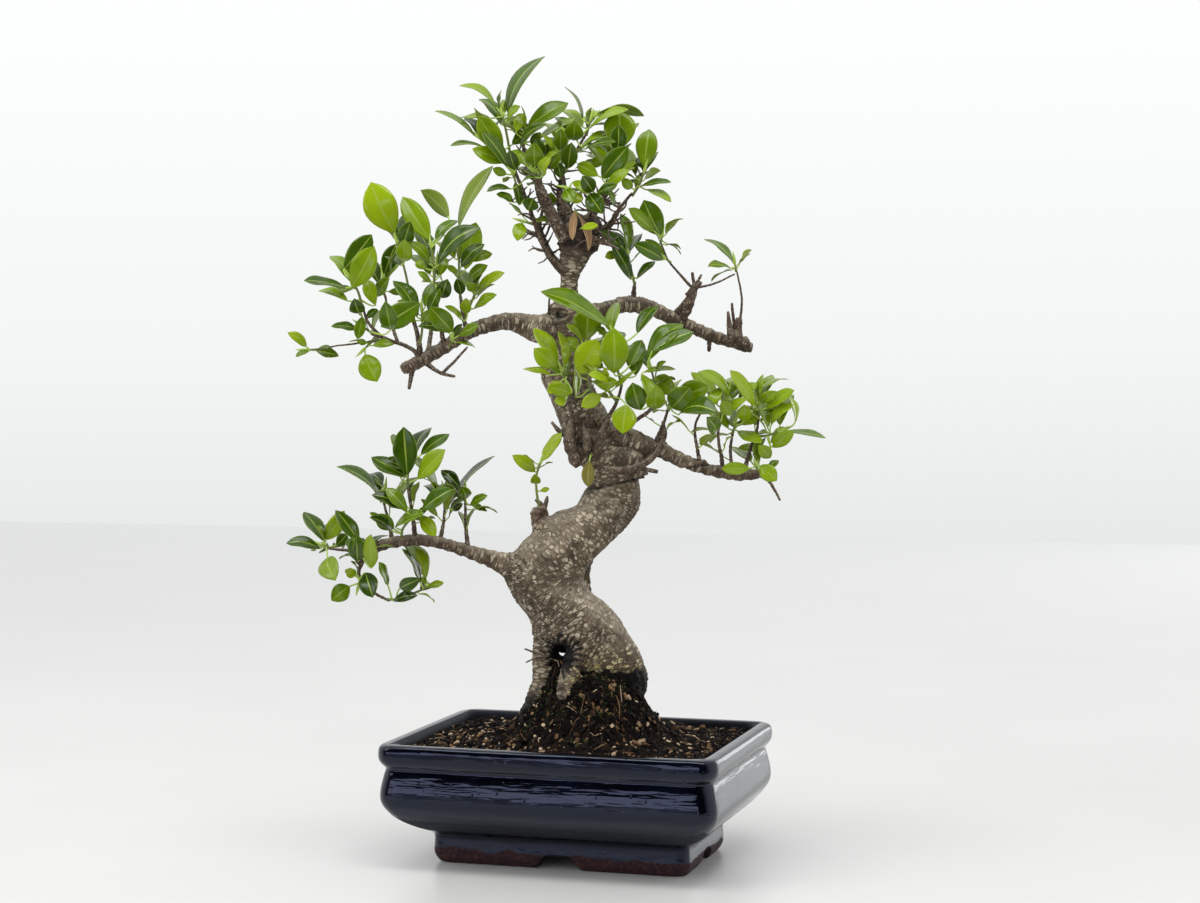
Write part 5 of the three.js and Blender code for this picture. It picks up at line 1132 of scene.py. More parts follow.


# %% [markdown]
# ## Leaves
#
# A banyan fig's leaf is a glossy oval blade with a short point, folded a little along its midrib. Two
# hundred of them carry the likeness. One blade is modelled flat from a grid; each leaf is a copy of it,
# bent to its own place, length, turn and curl, with every shoot's place given in the plant's frame.

# %% Lines and leaves of the shoots, in the plant's frame
# A shoot is: its kind of leaf, how many leaves it has behind, the leaves seen, and its stem's points.
# A leaf is [base x, y, z, tip x, y, z, width seen from the front]; a negative width shows its underside.
# An eighth number makes it an old leaf with that tone.
SHOOTS = {
    "lower_left_01": ("leaf", 2, [
      [-130, -31, 300, -132, -36, 337, 19], [-122, -30, 297, -100, -44, 320, 14],
      [-120, -22, 315, -99, -8, 330, 9], [-131, -24, 298, -159, -14, 313, 11],
      [-138, -18, 300, -141, -4, 325, 6],
    ], [[-130, -26, 289], [-130, -28, 298], [-128, -28, 309]]),
    "lower_left_02": ("leaf", 1, [
      [-152, -12, 278, -185, -22, 306, 5], [-143, -12, 274, -125, -2, 298, 8],
    ], [[-150, -10, 276], [-149, -9, 287]]),
    "lower_left_03": ("leaf", 2, [
      [-108, -12, 281, -132, -21, 316, 5], [-101, -9, 273, -65, 4, 312, 5],
      [-96, -8, 271, -89, -14, 277, 5],
    ], [[-103, -10, 272], [-104, -11, 284]]),
    "lower_left_04": ("leaf", 1, [
      [-87, -12, 280, -88, -32, 290, 10], [-83, -9, 276, -69, 0, 284, 6],
    ], [[-87, -8, 276], [-87, -9, 284]]),
    "lower_left_05": ("leaf", 1, [
      [-131, -32, 273, -156, -42, 286, 9], [-119, -35, 273, -94, -46, 290, 12],
      [-140, -26, 260, -117, -38, 272, 7], [-143, -24, 257, -159, -34, 268, 6],
      [-121, -28, 268, -108, -40, 254, 11], [-132, -26, 277, -154, -20, 287, 8],
      [-142, -18, 258, -155, -26, 270, 12],
    ], [[-136, -19, 250], [-134, -26, 259], [-126, -30, 268]]),
    "lower_left_06": ("leaf", 2, [
      [-195, -9, 249, -180, -16, 272, 13], [-200, -8, 242, -225, -14, 248, 8],
      [-193, -16, 236, -184, -38, 221, 17], [-188, -2, 244, -181, 6, 252, 10],
    ], [[-191, -8, 242], [-199, -7, 245]]),
    "lower_left_07": ("leaf", 1, [
      [-169, -27, 234, -169, -38, 256, 14], [-158, -29, 229, -157, -40, 256, 12],
      [-173, -18, 240, -170, -24, 253, 7],
    ], [[-170, -14, 233], [-166, -22, 238], [-164, -26, 243]]),
    "lower_left_08": ("leaf", 0, [
      [-176, -22, 214, -188, -36, 205, 14], [-163, -27, 225, -156, -45, 208, 15],
      [-171, -22, 223, -178, -30, 228, 8],
    ], [[-168, -16, 221], [-169, -22, 215]]),
    "lower_left_09": ("leaf", 1, [
      [-137, -25, 213, -121, -40, 221, 11], [-142, -25, 203, -123, -32, 208, 7],
      [-115, -26, 215, -103, -30, 217, 5], [-146, -26, 215, -152, -34, 234, 5],
      [-121, -28, 217, -134, -34, 244, 4], [-117, -28, 216, -120, -22, 221, 5],
    ], [[-149, -21, 204], [-138, -23, 204], [-126, -24, 209], [-114, -25, 214]]),
    "upper_left_01": ("leaf", 2, [
      [-139, -21, 485, -156, -27, 523, 26], [-132, -24, 475, -125, -42, 492, 13],
      [-131, -26, 463, -129, -46, 479, 13],
    ], [[-126, -18, 420], [-130, -19, 450], [-137, -20, 477]]),
    "upper_left_02": ("leaf", 2, [
      [-112, -20, 479, -133, -14, 513, 17], [-98, -8, 497, -121, 6, 519, -13],
      [-105, -28, 460, -73, -44, 488, 15], [-108, -19, 480, -91, -8, 494, 8],
      [-112, -26, 461, -128, -34, 477, 8], [-102, -30, 435, -97, -44, 449, 12],
      [-112, -28, 447, -120, -34, 455, 5], [-114, -26, 457, -123, -20, 463, 7],
      [-105, -18, 452, -100, -12, 465, 8],
    ], [[-108, -26, 436], [-109, -24, 456], [-111, -22, 473]]),
    "upper_left_03": ("leaf", 2, [
      [-91, 2, 490, -65, 12, 538, 12], [-86, -2, 457, -78, 8, 494, 18], [-89, -8, 459, -71, -22, 476, 11],
      [-83, -6, 447, -68, -18, 460, 9], [-92, -4, 455, -100, -10, 460, 5],
      [-89, -8, 438, -92, -16, 450, 9],
    ], [[-90, -2, 434], [-91, 0, 455], [-91, 2, 480]]),
    "upper_left_04": ("leaf", 1, [
      [-77, -7, 441, -55, -14, 454, 8], [-79, -10, 427, -62, -22, 438, 7],
      [-85, -14, 423, -84, -28, 434, 9], [-80, -8, 440, -82, -14, 447, 8],
      [-87, -18, 417, -100, -26, 429, 4],
    ], [[-87, -6, 420], [-82, -6, 430], [-79, -6, 438]]),
    "upper_left_05": ("leaf", 2, [
      [-178, -20, 457, -157, -12, 484, 17], [-171, -27, 443, -153, -38, 474, 19],
      [-176, -24, 443, -207, -34, 448, 7], [-175, -22, 433, -198, -16, 442, 6],
      [-166, -23, 424, -168, -40, 434, 12], [-155, -8, 430, -163, 2, 450, 11],
    ], [[-164, -20, 428], [-167, -22, 440], [-172, -24, 449]]),
    "upper_left_06": ("leaf", 3, [
      [-157, 4, 437, -144, -10, 451, 10], [-150, 12, 454, -141, 18, 478, 13],
    ], [[-150, 10, 438], [-151, 12, 450]]),
    "upper_left_07": ("leaf", 0, [
      [-165, -14, 421, -168, -20, 404, 9], [-168, -14, 411, -188, -20, 414, 6],
      [-140, -40, 411, -142, -50, 432, 14], [-162, -16, 420, -153, -22, 427, 6],
    ], [[-156, -9, 407], [-164, -13, 413]]),
    "upper_left_08": ("leaf", 2, [
      [-119, -30, 431, -148, -42, 413, 19], [-112, -30, 424, -103, -38, 442, 10],
      [-116, -34, 417, -108, -42, 426, 9],
    ], [[-121, -16, 398], [-118, -26, 411], [-118, -28, 424]]),
    "upper_left_09": ("leaf", 0, [
      [-95, -27, 409, -111, -40, 428, 16], [-90, -25, 406, -74, -34, 414, 8],
      [-98, -24, 409, -120, -32, 414, 7],
    ], [[-99, -14, 396], [-96, -24, 403]]),
    "upper_left_10": ("leaf", 0, [
      [-163, -13, 392, -153, -20, 371, 18], [-162, -12, 401, -169, -18, 403, 5],
    ], [[-158, -9, 402], [-163, -12, 397]]),
    "upper_left_11": ("leaf", 0, [
      [-207, -5, 395, -217, -9, 391, 4],
    ], [[-201, -4, 396], [-207, -4, 396]]),
    "upper_left_12": ("leaf", 5, [
    ], [[-112, 16, 428], [-112, 18, 445], [-110, 20, 462]]),
    "crown_01": ("leaf", 2, [
      [-52, -7, 576, -23, -2, 620, 12], [-61, -8, 581, -88, -14, 598, 6],
      [-56, -14, 549, -74, -24, 573, 17], [-66, -4, 573, -90, 8, 575, 5], [-58, -8, 580, -57, -9, 594, 2],
      [-51, -4, 569, -34, 2, 564, 6], [-49, -2, 553, -37, 5, 563, 10],
    ], [[-50, -6, 542], [-53, -7, 560], [-56, -8, 574]]),
    "crown_02": ("leaf", 2, [
      [-78, -4, 560, -108, -10, 578, 5], [-69, -6, 550, -96, -14, 552, 4],
    ], [[-46, -8, 528], [-60, -6, 544], [-72, -4, 556]]),
    "crown_03": ("leaf", 1, [
      [-54, -20, 538, -78, -30, 548, 12], [-46, -22, 532, -50, -34, 546, 10],
      [-48, -14, 508, -61, -20, 514, 6], [-50, -17, 518, -68, -23, 516, 5],
      [-47, -12, 533, -44, -4, 545, 8], [-53, -20, 529, -63, -26, 533, 7],
      [-37, -18, 502, -33, -30, 511, 13], [-44, -4, 506, -47, 6, 523, 7],
    ], [[-37, -9, 507], [-43, -13, 514], [-48, -17, 529]]),
    "crown_04": ("leaf", 0, [
      [-42, -12, 492, -45, -24, 478, 11],
    ], [[-32, -8, 491], [-39, -10, 493]]),
    "crown_05": ("leaf", 1, [
      [-37, -3, 566, -6, 6, 586, 14], [-43, -8, 549, -22, -20, 566, 7], [-29, -1, 557, 0, 8, 575, 7],
      [-46, -6, 562, -40, 8, 577, 10], [-34, -6, 552, -27, -14, 561, 8],
    ], [[-40, -4, 549], [-40, -3, 560]]),
    "crown_06": ("leaf", 2, [
      [-12, -9, 548, -11, -26, 563, 11], [-6, -11, 534, -3, -32, 552, 13],
      [-21, -8, 534, -12, -22, 544, 9], [-18, 0, 540, -21, 4, 555, 11], [-12, -8, 527, -14, -14, 539, 9],
    ], [[-11, 6, 527], [-17, -2, 536], [-15, -6, 544]]),
    "crown_07": ("leaf", 1, [
      [-31, -20, 535, -31, -38, 551, 15], [-25, -20, 527, -19, -28, 540, 8],
    ], [[-30, -12, 523], [-33, -18, 531]]),
    "crown_08": ("leaf", 3, [
      [5, 6, 573, -8, 14, 599, 3], [11, 3, 566, 40, -7, 580, 7], [16, 6, 577, 53, 16, 577, -6],
      [-2, -2, 556, 0, -16, 569, 15],
    ], [[8, 5, 560], [11, 5, 571]]),
    "crown_09": ("leaf", 1, [
      [7, -5, 549, 31, -16, 553, 6], [8, 0, 554, 28, 8, 562, 6],
    ], [[0, 5, 547], [5, -2, 551]]),
    "crown_10": ("leaf", 2, [
      [20, -15, 526, 40, -26, 549, 17], [24, -17, 521, 40, -30, 531, 9], [34, -4, 549, 34, 4, 579, 25],
      [32, -8, 545, 33, -13, 567, 13], [17, -10, 528, 1, -2, 538, 11], [21, -16, 521, 29, -26, 505, 4],
      [37, -6, 533, 46, 2, 540, 5], [23, 0, 540, 11, 6, 538, 8],
    ], [[26, -12, 514], [28, -11, 524], [31, -8, 536]]),
    "crown_11": ("leaf", 3, [
      [53, 0, 535, 57, 4, 565, 17], [49, -2, 520, 73, -9, 523, 5], [53, -2, 518, 73, -12, 508, 6],
      [46, 6, 520, 56, 16, 533, 5], [43, -2, 519, 35, -10, 526, 8],
    ], [[43, 2, 513], [49, 1, 522], [52, 0, 531]]),
    "crown_12": ("leaf", 0, [
      [10, -24, 513, 20, -36, 498, 14], [-2, -20, 523, 9, -32, 514, 8], [-8, -22, 517, -2, -36, 506, 11],
      [16, -22, 514, 31, -32, 520, 8], [13, -24, 515, 5, -34, 526, 12], [4, -26, 513, -2, -34, 506, 9],
    ], [[19, -10, 505], [13, -19, 512], [4, -22, 516], [-5, -21, 518]]),
    "crown_13": ("leaf", 5, [
    ], [[-10, 40, 529], [-12, 42, 545], [-12, 43, 557]]),
    "crown_14": ("leaf", 5, [
    ], [[22, 34, 519], [25, 36, 534], [26, 37, 547]]),
    "crown_15": ("leaf", 5, [
      [-27, 6, 543, -31, -2, 556, 11], [-20, 2, 507, -19, -6, 516, 9],
    ], [[-26, 8, 503], [-28, 12, 518], [-29, 14, 531]]),
    "upper_right_01": ("leaf", 1, [
      [65, 5, 483, 52, -2, 510, 19], [60, 2, 486, 40, -8, 503, 11],
    ], [[65, 6, 476], [66, 6, 481]]),
    "upper_right_02": ("leaf", 0, [
      [67, 4, 464, 44, -8, 476, 12],
    ], [[73, 9, 462], [69, 6, 465]]),
    "upper_right_03": ("leaf", 2, [
      [39, 9, 472, 35, 4, 500, 9], [42, 10, 449, 27, 0, 476, 11], [47, 15, 450, 61, 22, 464, 6],
      [34, 8, 475, 19, 2, 486, 9], [30, 6, 469, 22, 0, 466, 7],
    ], [[45, 14, 445], [42, 12, 458], [40, 10, 468]]),
    "upper_right_04": ("leaf", 0, [
      [123, 29, 462, 101, 36, 482, 6], [120, 24, 458, 102, 14, 459, 5],
    ], [[125, 28, 455], [124, 27, 461]]),
    "middle_01": ("young", 1, [
      [-15, -45, 382, -32, -53, 396, 15], [-10, -47, 381, -13, -49, 409, 7],
      [-20, -42, 376, -41, -34, 380, 4], [-4, -48, 362, -21, -58, 367, 11],
      [-12, -44, 371, -22, -50, 362, 9], [-8, -42, 358, -17, -48, 356, 9],
    ], [[-8, -40, 369], [-11, -43, 378]]),
    "middle_02": ("young", 1, [
      [1, -46, 377, 16, -52, 402, 22], [7, -33, 402, 8, -28, 427, 22], [4, -38, 401, -8, -30, 414, 5],
      [-1, -44, 359, -2, -46, 389, 5],
    ], [[12, -36, 359], [8, -40, 372], [6, -36, 390]]),
    "middle_03": ("leaf", 2, [
      [25, -38, 412, -25, -52, 441, 13, -0.3], [28, -46, 377, 28, -52, 411, 22],
      [46, -28, 407, 62, -18, 429, 9], [40, -30, 382, 50, -18, 402, 13], [20, -30, 381, 10, -26, 387, 9],
      [45, -24, 375, 42, -18, 398, 14],
    ], [[34, -34, 367], [30, -36, 384], [27, -36, 404]]),
    "middle_04": ("young", 1, [
      [16, -45, 368, 31, -52, 371, 10], [22, -46, 369, 21, -58, 381, 7], [37, -44, 353, 34, -54, 332, 19],
      [18, -44, 361, 3, -56, 352, 11], [24, -48, 370, 9, -56, 377, 6],
    ], [[30, -31, 355], [24, -40, 364]]),
    "middle_05": ("leaf", 1, [
      [54, -30, 386, 81, -22, 415, 14], [49, -36, 376, 57, -48, 355, 9], [52, -34, 378, 75, -30, 380, 4],
      [60, -38, 350, 60, -54, 367, 15], [48, -34, 349, 42, -42, 370, 17], [57, -36, 393, 89, -28, 408, 12],
    ], [[63, -24, 354], [60, -28, 366], [57, -30, 378]]),
    "middle_06": ("leaf", 2, [
      [72, -26, 350, 86, -42, 366, 20], [77, -20, 359, 100, -32, 367, 19],
      [76, -22, 360, 58, -12, 373, 15], [77, -26, 345, 104, -44, 349, 11],
    ], [[70, -18, 347], [71, -19, 356]]),
    "middle_07": ("leaf", 5, [
    ], [[12, 42, 381], [14, 46, 394]]),
    "right_01": ("leaf", 3, [
      [117, -21, 359, 93, -29, 378, 9], [110, -25, 365, 99, -38, 350, 9],
      [118, -22, 356, 127, -16, 370, 7], [124, -16, 357, 139, -6, 368, 8],
      [117, -26, 344, 110, -34, 355, 10], [106, -20, 332, 97, -28, 344, 13],
    ], [[110, -20, 343], [114, -20, 355]]),
    "right_02": ("leaf", 2, [
      [141, -10, 354, 153, -22, 362, 9], [135, -6, 356, 163, 4, 372, 4], [145, -14, 349, 166, -26, 363, 9],
    ], [[140, -8, 343], [139, -8, 351]]),
    "right_03": ("leaf", 2, [
      [149, -14, 336, 165, -24, 352, 7], [150, -17, 319, 165, -30, 332, 11],
      [168, -10, 338, 160, -4, 361, 5], [160, -11, 331, 191, -17, 327, 4],
      [149, -10, 322, 162, -2, 334, 9], [148, -16, 311, 138, -26, 321, 10],
    ], [[137, -8, 327], [147, -12, 328], [154, -12, 331]]),
    "right_04": ("leaf", 1, [
      [132, -18, 303, 110, -26, 303, 10], [140, -18, 305, 152, -28, 294, 13],
      [146, -16, 301, 155, -10, 309, 5],
    ], [[139, -11, 300], [137, -18, 305]]),
    "right_05": ("leaf", 4, [
      [124, 0, 331, 141, -18, 322, 9], [128, -10, 339, 128, -20, 352, 12],
    ], [[120, 2, 327], [122, 2, 336]]),
    "trunk_sprout": ("young", 0, [
      [-33, -11, 301, -50, -18, 314, 10], [-28, -10, 309, -12, -16, 331, 9],
      [-32, -14, 292, -33, -28, 300, 8], [-29, -11, 286, -22, -13, 288, 4],
    ], [[-30, -9, 272], [-32, -10, 286], [-32, -10, 298], [-29, -10, 307]]),
    "trunk_leaf": ("olive", 0, [
      [9, -28, 310, 8, -31, 290, 10],
    ], [[14, -17, 318], [10, -27, 314]]),
    "dead_leaf": ("dead", 0, [
      [-1, -21, 501, -3, -27, 478, 9], [1, -22, 498, 9, -26, 470, 7],
    ], [[1, -8, 492], [0, -20, 500]]),
}
print("leaves with a place in the photo", sum(len(shoot[2]) for shoot in SHOOTS.values()))

# %% Leaf sizes
LEAF_ASPECT = 0.46
LEAF_FOLD = 0.22
LEAF_ARCH = 0.07
STEM_RADIUS = 1.1
STEM_TAPER = 0.3
SLIDES = [0, -4, 4, -8, 8, -12, 12, -16, 16, -20, 20, -25, 25, -30, 30]
BASE_SLIDE = 0.4
BLADE_THICKNESS = 0.5


def unit(vector):
    """The same direction, one long."""
    return vector / np.linalg.norm(vector)


def draw(number):
    """A fixed random share for a number, by the same steps as the solids take."""
    state = (number * 2654435761 + 41) % 2 ** 32
    for _ in range(3):
        state = (state * 1664525 + 1013904223) % 2 ** 32
    return state / 2 ** 32


def far_leaves(stem, count, seed):
    """Leaves behind a shoot, set round its stem by the golden angle."""
    low, top = (np.array(point, dtype=float) for point in stem[-2:])
    leaves = []
    for k in range(count):
        height = k / (count - 1) if count > 1 else 1
        foot = low + (top - low) * (0.3 + 0.7 * height)
        bearing = math.radians(137.5 * (k + 1) + 50 * draw(seed + 3 * k))
        heading = unit(np.array((
            0.65 * math.cos(bearing),
            0.4 + abs(math.sin(bearing)),
            0.35 * (1 + 2 * draw(seed + 3 * k + 1)),
        )))
        length = 32 * (0.8 + 0.4 * draw(seed + 3 * k + 2))
        base = foot + 7 * heading
        leaves.append([*base, *(base + length * heading), 0.3 * length])
    return leaves


def leaf_frame(leaf, slide):
    """Base, direction, upper side, sideways direction, length and width of a leaf."""
    base = np.array(leaf[:3], dtype=float) + (0, slide * BASE_SLIDE, 0)
    tip = np.array(leaf[3:6], dtype=float) + (0, slide, 0)
    length = np.linalg.norm(tip - base)
    along = unit(tip - base)
    to_viewer = np.array((0.0, -1.0, 0.0))
    facing = unit(to_viewer - along * to_viewer.dot(along))
    turned_up = np.cross(along, facing)
    if turned_up[2] < 0:
        turned_up = -turned_up
    width = max(abs(leaf[6]), LEAF_ASPECT * length)
    show = abs(leaf[6]) / width
    side_shown = -1 if leaf[6] < 0 else 1
    upper = unit(facing * show * side_shown + turned_up * math.sqrt(1 - show * show))
    return base, along, upper, np.cross(along, upper), length, width


def slide_of(leaf, solid_points):
    """How far the solid's leaf was moved in depth to find room, read from where its tip is."""
    tips = [Vector(leaf[3:6]) + Vector((0, slide, 0)) for slide in SLIDES]
    return min(SLIDES, key=lambda slide: round(solid_points.find(tips[SLIDES.index(slide)])[2], 1))


# %% [markdown]
# ### The blade
#
# A fig's blade is widest a little below its middle and ends in a short blunt tip. It could be cut from a
# picture of a leaf. A grid drawn in to an outline by a curve costs less, and its middle row becomes the
# midrib's fold. A late small leaf has the same outline in fewer faces.

# %% Flat blades
BLADE_GRIDS = {"leaf": (6, 12), "small_leaf": (4, 8)}


def flat_blade(name, columns, rows):
    """A flat blade, and each point's share of the length, its reach sideways and its column."""
    deselect()
    bpy.ops.mesh.primitive_grid_add(x_subdivisions=columns, y_subdivisions=rows, size=2)
    piece = bpy.context.object
    piece.name = piece.data.name = "flat_" + name
    column, share = points_of(piece.data)[:, :2].T
    share = (share + 1) / 2
    # The rows lie closer at both ends, where the outline turns fastest
    share = 0.5 * share + 0.25 * (1 - np.cos(math.pi * share))
    outline = np.sin(math.pi * share ** 1.12) ** 0.68
    outline *= 1 - 0.35 * rise(share, 0.86, 1.0)
    move_points(piece.data, np.column_stack([column * outline, share, share * 0]))
    return piece, (share, column * outline, column)


flat_blades = {name: flat_blade(name, *grid) for name, grid in BLADE_GRIDS.items()}
print("blade faces", {name: len(piece.data.polygons) for name, (piece, _) in flat_blades.items()})

# %% [markdown]
# ### Bending a leaf
#
# No two leaves lie alike: each folds along its midrib, arches, droops at the tip, ripples and twists. They
# could be posed by hand with a lattice. Here one set of random shares bends each copy, always from the
# same seed, so the tree grows the same way at every run.

# %% Bend a copy of a blade
wild = random.Random(7)
lifetimes = {"leaf": 0.0, "young": 0.7, "olive": 0.0, "dead": 0.0}
# How much lighter or darker a pad's leaves are than the rest
pad_light = {"lower_left": -0.28, "crown": 0.02, "right": 0.3, "upper_right": -0.1}


def leaf_of(name, leaf, slide, youth, light=0.0, crumple=1.0):
    """A copy of the flat blade, laid into one leaf's frame with a curl of its own."""
    base, along, upper, side, length, width = leaf_frame(leaf, slide)
    width /= math.sqrt(crumple)
    blade, (share, spread, column) = flat_blades[name]
    new = blade.copy()
    new.data = blade.data.copy()
    bpy.context.scene.collection.objects.link(new)
    fold = LEAF_FOLD * wild.uniform(0.5, 1.5) * crumple
    arch = LEAF_ARCH * wild.uniform(0.3, 2.2)
    droop = wild.uniform(-0.02, 0.06)
    ripple = wild.uniform(0.2, 0.9) * crumple
    phase = wild.uniform(0, 6.28)
    sway = wild.uniform(-0.035, 0.035)
    twist = wild.uniform(-0.25, 0.25) * crumple
    reach = spread * width / 2
    lift = fold * np.abs(reach) * (1 - 0.25 * np.abs(column)) + arch * length * 4 * share * (1 - share)
    lift = lift - droop * length * rise(share, 0.6, 1.0)
    lift = lift + ripple * np.sin(share * 9 + phase) * column * np.abs(column) * np.sin(math.pi * share)
    lift = lift + twist * reach * (share - 0.5)
    bend = sway * length * np.sin(math.pi * share)
    points = (
        base + np.outer(share * length, along) + np.outer(reach + bend, side) + np.outer(lift, upper)
    )
    move_points(new.data, points)
    note(new.data, "tone", np.full(len(points), 0.12 + 0.76 * wild.random() + light))
    note(new.data, "youth", np.full(len(points), youth))
    return new, base, along


def stalk(name, line, sides, youth, green):
    """A round stem or leafstalk."""
    tube = roll(name, limb_rings(np.asarray(line, dtype=float), sides))
    count = len(tube.data.vertices)
    note(tube.data, "tone", np.full(count, green))
    note(tube.data, "youth", np.full(count, youth))
    return tube


def small_leaf(pad, foot, base, tip, width, youth):
    """A late small leaf and its short stalk."""
    leaf = [*base, *tip, width]
    new, base, along = leaf_of("small_leaf", leaf, 0, youth, pad_light.get(pad, 0.0))
    line = np.array([foot, (foot + base) / 2, base, base + along])
    points = np.column_stack([line, [0.6, 0.5, 0.5, 0.3]])
    pads[pad]["blades"].append(new)
    pads[pad]["stalks"].append(stalk("petiole", smooth_line(points, 2), 6, 0.6, 0.8))


def foot_on_stem(stem, base, along):
    """Where a leafstalk leaves its stem, by the same rule as the solids."""
    best, least = None, math.inf
    for k in range(len(stem) - 1):
        for step in range(5 if k == 0 else 0, 11):
            point = stem[k] + (stem[k + 1] - stem[k]) * step / 10
            cost = 2 * np.linalg.norm(base - point) - (base - point).dot(along)
            if cost < least:
                best, least = point, cost
    return best


# %% [markdown]
# ### Leafy shoots
#
# Each shoot is a green stem with its leaves on short stalks, and ends in a rolled bud. Leaves seen in the
# photo keep their place; leaves behind them follow the golden angle round the stem, as a fig sets them.
# The joined blades of a pad are one piece, and the stems and stalks of that pad another.

# %% Grow the shoots
pads = {}
CRUMPLE = 2.2
# A bud's distance beyond the stem and its radius
BUD = [(-1, 0.7), (1, 1.1), (4, 1.2), (8, 0.7), (11, 0.15)]
fill = random.Random(23)
TO_PLANT = PLANT_FRAME.inverted()
slid = 0
for order, (name, (tone, far_count, seen, stem)) in enumerate(SHOOTS.items()):
    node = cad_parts[name]
    corners = KDTree(len(node.data.vertices))
    for k, vertex in enumerate(node.data.vertices):
        corners.insert(TO_PLANT @ vertex.co, k)
    corners.balance()
    youth = lifetimes[tone]
    stem = np.array(stem, dtype=float)
    radius = STEM_RADIUS * (1 - STEM_TAPER * np.arange(len(stem)) / (len(stem) - 1))
    pad = tone if tone in ("olive", "dead") else name.rstrip("0123456789").rstrip("_")
    held = pads.setdefault(pad, {"blades": [], "stalks": [], "nodes": []})
    held["nodes"].append(name)
    line = smooth_line(np.column_stack([stem, radius]), 2.5)
    held["stalks"].append(stalk("stem", line, 8, youth, 0.2))
    for leaf in seen + far_leaves(stem, far_count, 100 * (order + 1)):
        slide = slide_of(leaf, corners)
        slid += slide != 0
        leaf_youth = min(1, max(0, youth + wild.uniform(-0.3, 0.3) * (youth > 0)))
        if tone == "leaf" and wild.random() < 0.12:
            leaf_youth = wild.uniform(0.35, 0.75)
        light = pad_light.get(pad, 0.0)
        if len(leaf) > 7:
            leaf_youth, light = 0.0, leaf[7]
        crumple = CRUMPLE if tone == "dead" else 1.0
        new, base, along = leaf_of("leaf", leaf, slide, leaf_youth, light, crumple)
        held["blades"].append(new)
        foot = foot_on_stem(stem, base, along)
        away = base - foot
        middle = foot + away * 0.5 + (unit(away) - along) * 0.12 * np.linalg.norm(away)
        points = np.array([foot, middle, base, base + along * 1.5])
        girth = np.array([0.85, 0.62, 0.6, 0.35])[:, None]
        held["stalks"].append(stalk("petiole", smooth_line(np.hstack([points, girth]), 2), 6, 0.6, 0.8))
    if tone in ("olive", "dead"):
        continue
    # Each shoot ends in a rolled bud, with small late leaves below it
    growing = unit(stem[-1] - stem[-2])
    bud = np.array([[*(stem[-1] + growing * far), girth] for far, girth in BUD])
    held["stalks"].append(stalk("bud", smooth_line(bud, 1.5), 6, 1.0, 1.0))
    for _ in range(fill.randint(2, 4)):
        foot = stem[-2] + (stem[-1] - stem[-2]) * fill.uniform(0.1, 1.0)
        heading = unit(np.array((fill.uniform(-1, 1), fill.uniform(-0.5, 1), fill.uniform(-0.3, 0.9))))
        length = fill.uniform(11, 23)
        base = foot + heading * fill.uniform(3, 6)
        width = length * fill.uniform(-0.25, 0.42)
        small_leaf(pad, foot, base, base + heading * length, width, fill.uniform(0, 0.7) ** 2)
print("shoots", len(SHOOTS), "leaves moved in depth", slid)

# %% [markdown]
# ### Small leaves on bare twigs
#
# In the two lower pads small leaves also sit along the brown twigs. They are the small blade again, on
# stalks that start inside the twig, so that nothing hangs in the air.

# %% Small leaves along the twigs of the lower pads
TWIG_LEAF_REACH = 7
# Foot, base and tip, in the plant's frame
YELLOW_LEAF = np.array(((2, -10, 487), (4, -30, 487), (17, -33, 489)), dtype=float)
for line in twig_lines:
    low, high = line[:, 2].min(), line[:, 2].max()
    pad = "lower_left" if line[0, 0] < -60 else "right"
    hanging = line[-1, 2] < line[0, 2]
    if hanging or high > 375 or low < 190 or high - low < 12 or -60 < line[0, 0] < 40:
        continue
    for _ in range(3):
        foot = line[fill.randrange(len(line) // 3, len(line)), :3]
        heading = unit(np.array((fill.uniform(-1, 1), fill.uniform(-0.7, 0.7), fill.uniform(-0.2, 0.9))))
        length = fill.uniform(13, 25)
        base = foot + heading * TWIG_LEAF_REACH
        width = length * fill.uniform(-0.3, 0.42)
        small_leaf(pad, foot, base, base + heading * length, width, fill.uniform(0, 0.5))
# One small leaf in the crown's knot is turning yellow
small_leaf("crown", *YELLOW_LEAF, 6, 1.6)

# %% Join the leaves of each pad and give them their thickness
for pad, held in pads.items():
    blades = join(held["blades"], "blades_" + pad)
    wear(blades, leaf_top_finishes.get(pad, leaf_top), leaf_under_finishes.get(pad, leaf_under))
    modify(
        blades, "SOLIDIFY", thickness=BLADE_THICKNESS, offset=0, material_offset=1, material_offset_rim=0,
        use_even_offset=False,
    )
    stalks = join(held["stalks"], "stalks_" + pad)
    wear(stalks, stalk_finish)
    settle(blades, PLANT_FRAME, held["nodes"])
    settle(stalks, PLANT_FRAME)
for blade, _ in flat_blades.values():
    bpy.data.objects.remove(blade)


# %% [markdown]
# ## Potting soil, and the root ball
#
# Bonsai soil is a coarse mix of bark, peat and grit, heaped against the bared roots and held by fine
# threads. A smooth heap would look like felt. So one closed body gives the heap its crumbs, and small
# pieces copied from a few shapes lie on it: bark chips, grit, root threads, straws and moss.

# %% The heap
SOIL_EDGE = 90.5
MOUND_HEIGHT = 56
MOUND_RADIUS = 48
MOUND_STEEPNESS = 5
MOUND_CENTRE = (6, -5)
SOIL_INSET = 13.5
SOIL_CORNER = 10
SOIL_COLUMNS, SOIL_ROWS = ((200, 142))
# [inset from the rim, height] down inside the pot
SOIL_SKIRT = [(14.3, 62), (19.4, 44), (34.4, 28.4)]
turn_cos, turn_sin = math.cos(PLANT_TURN), math.sin(PLANT_TURN)


def to_pot(x, y):
    """A place in the plant's frame, told in the pot's frame."""
    return x * turn_cos - y * turn_sin, x * turn_sin + y * turn_cos


def to_plant(x, y):
    """A place in the pot's frame, told in the plant's frame."""
    return x * turn_cos + y * turn_sin, y * turn_cos - x * turn_sin


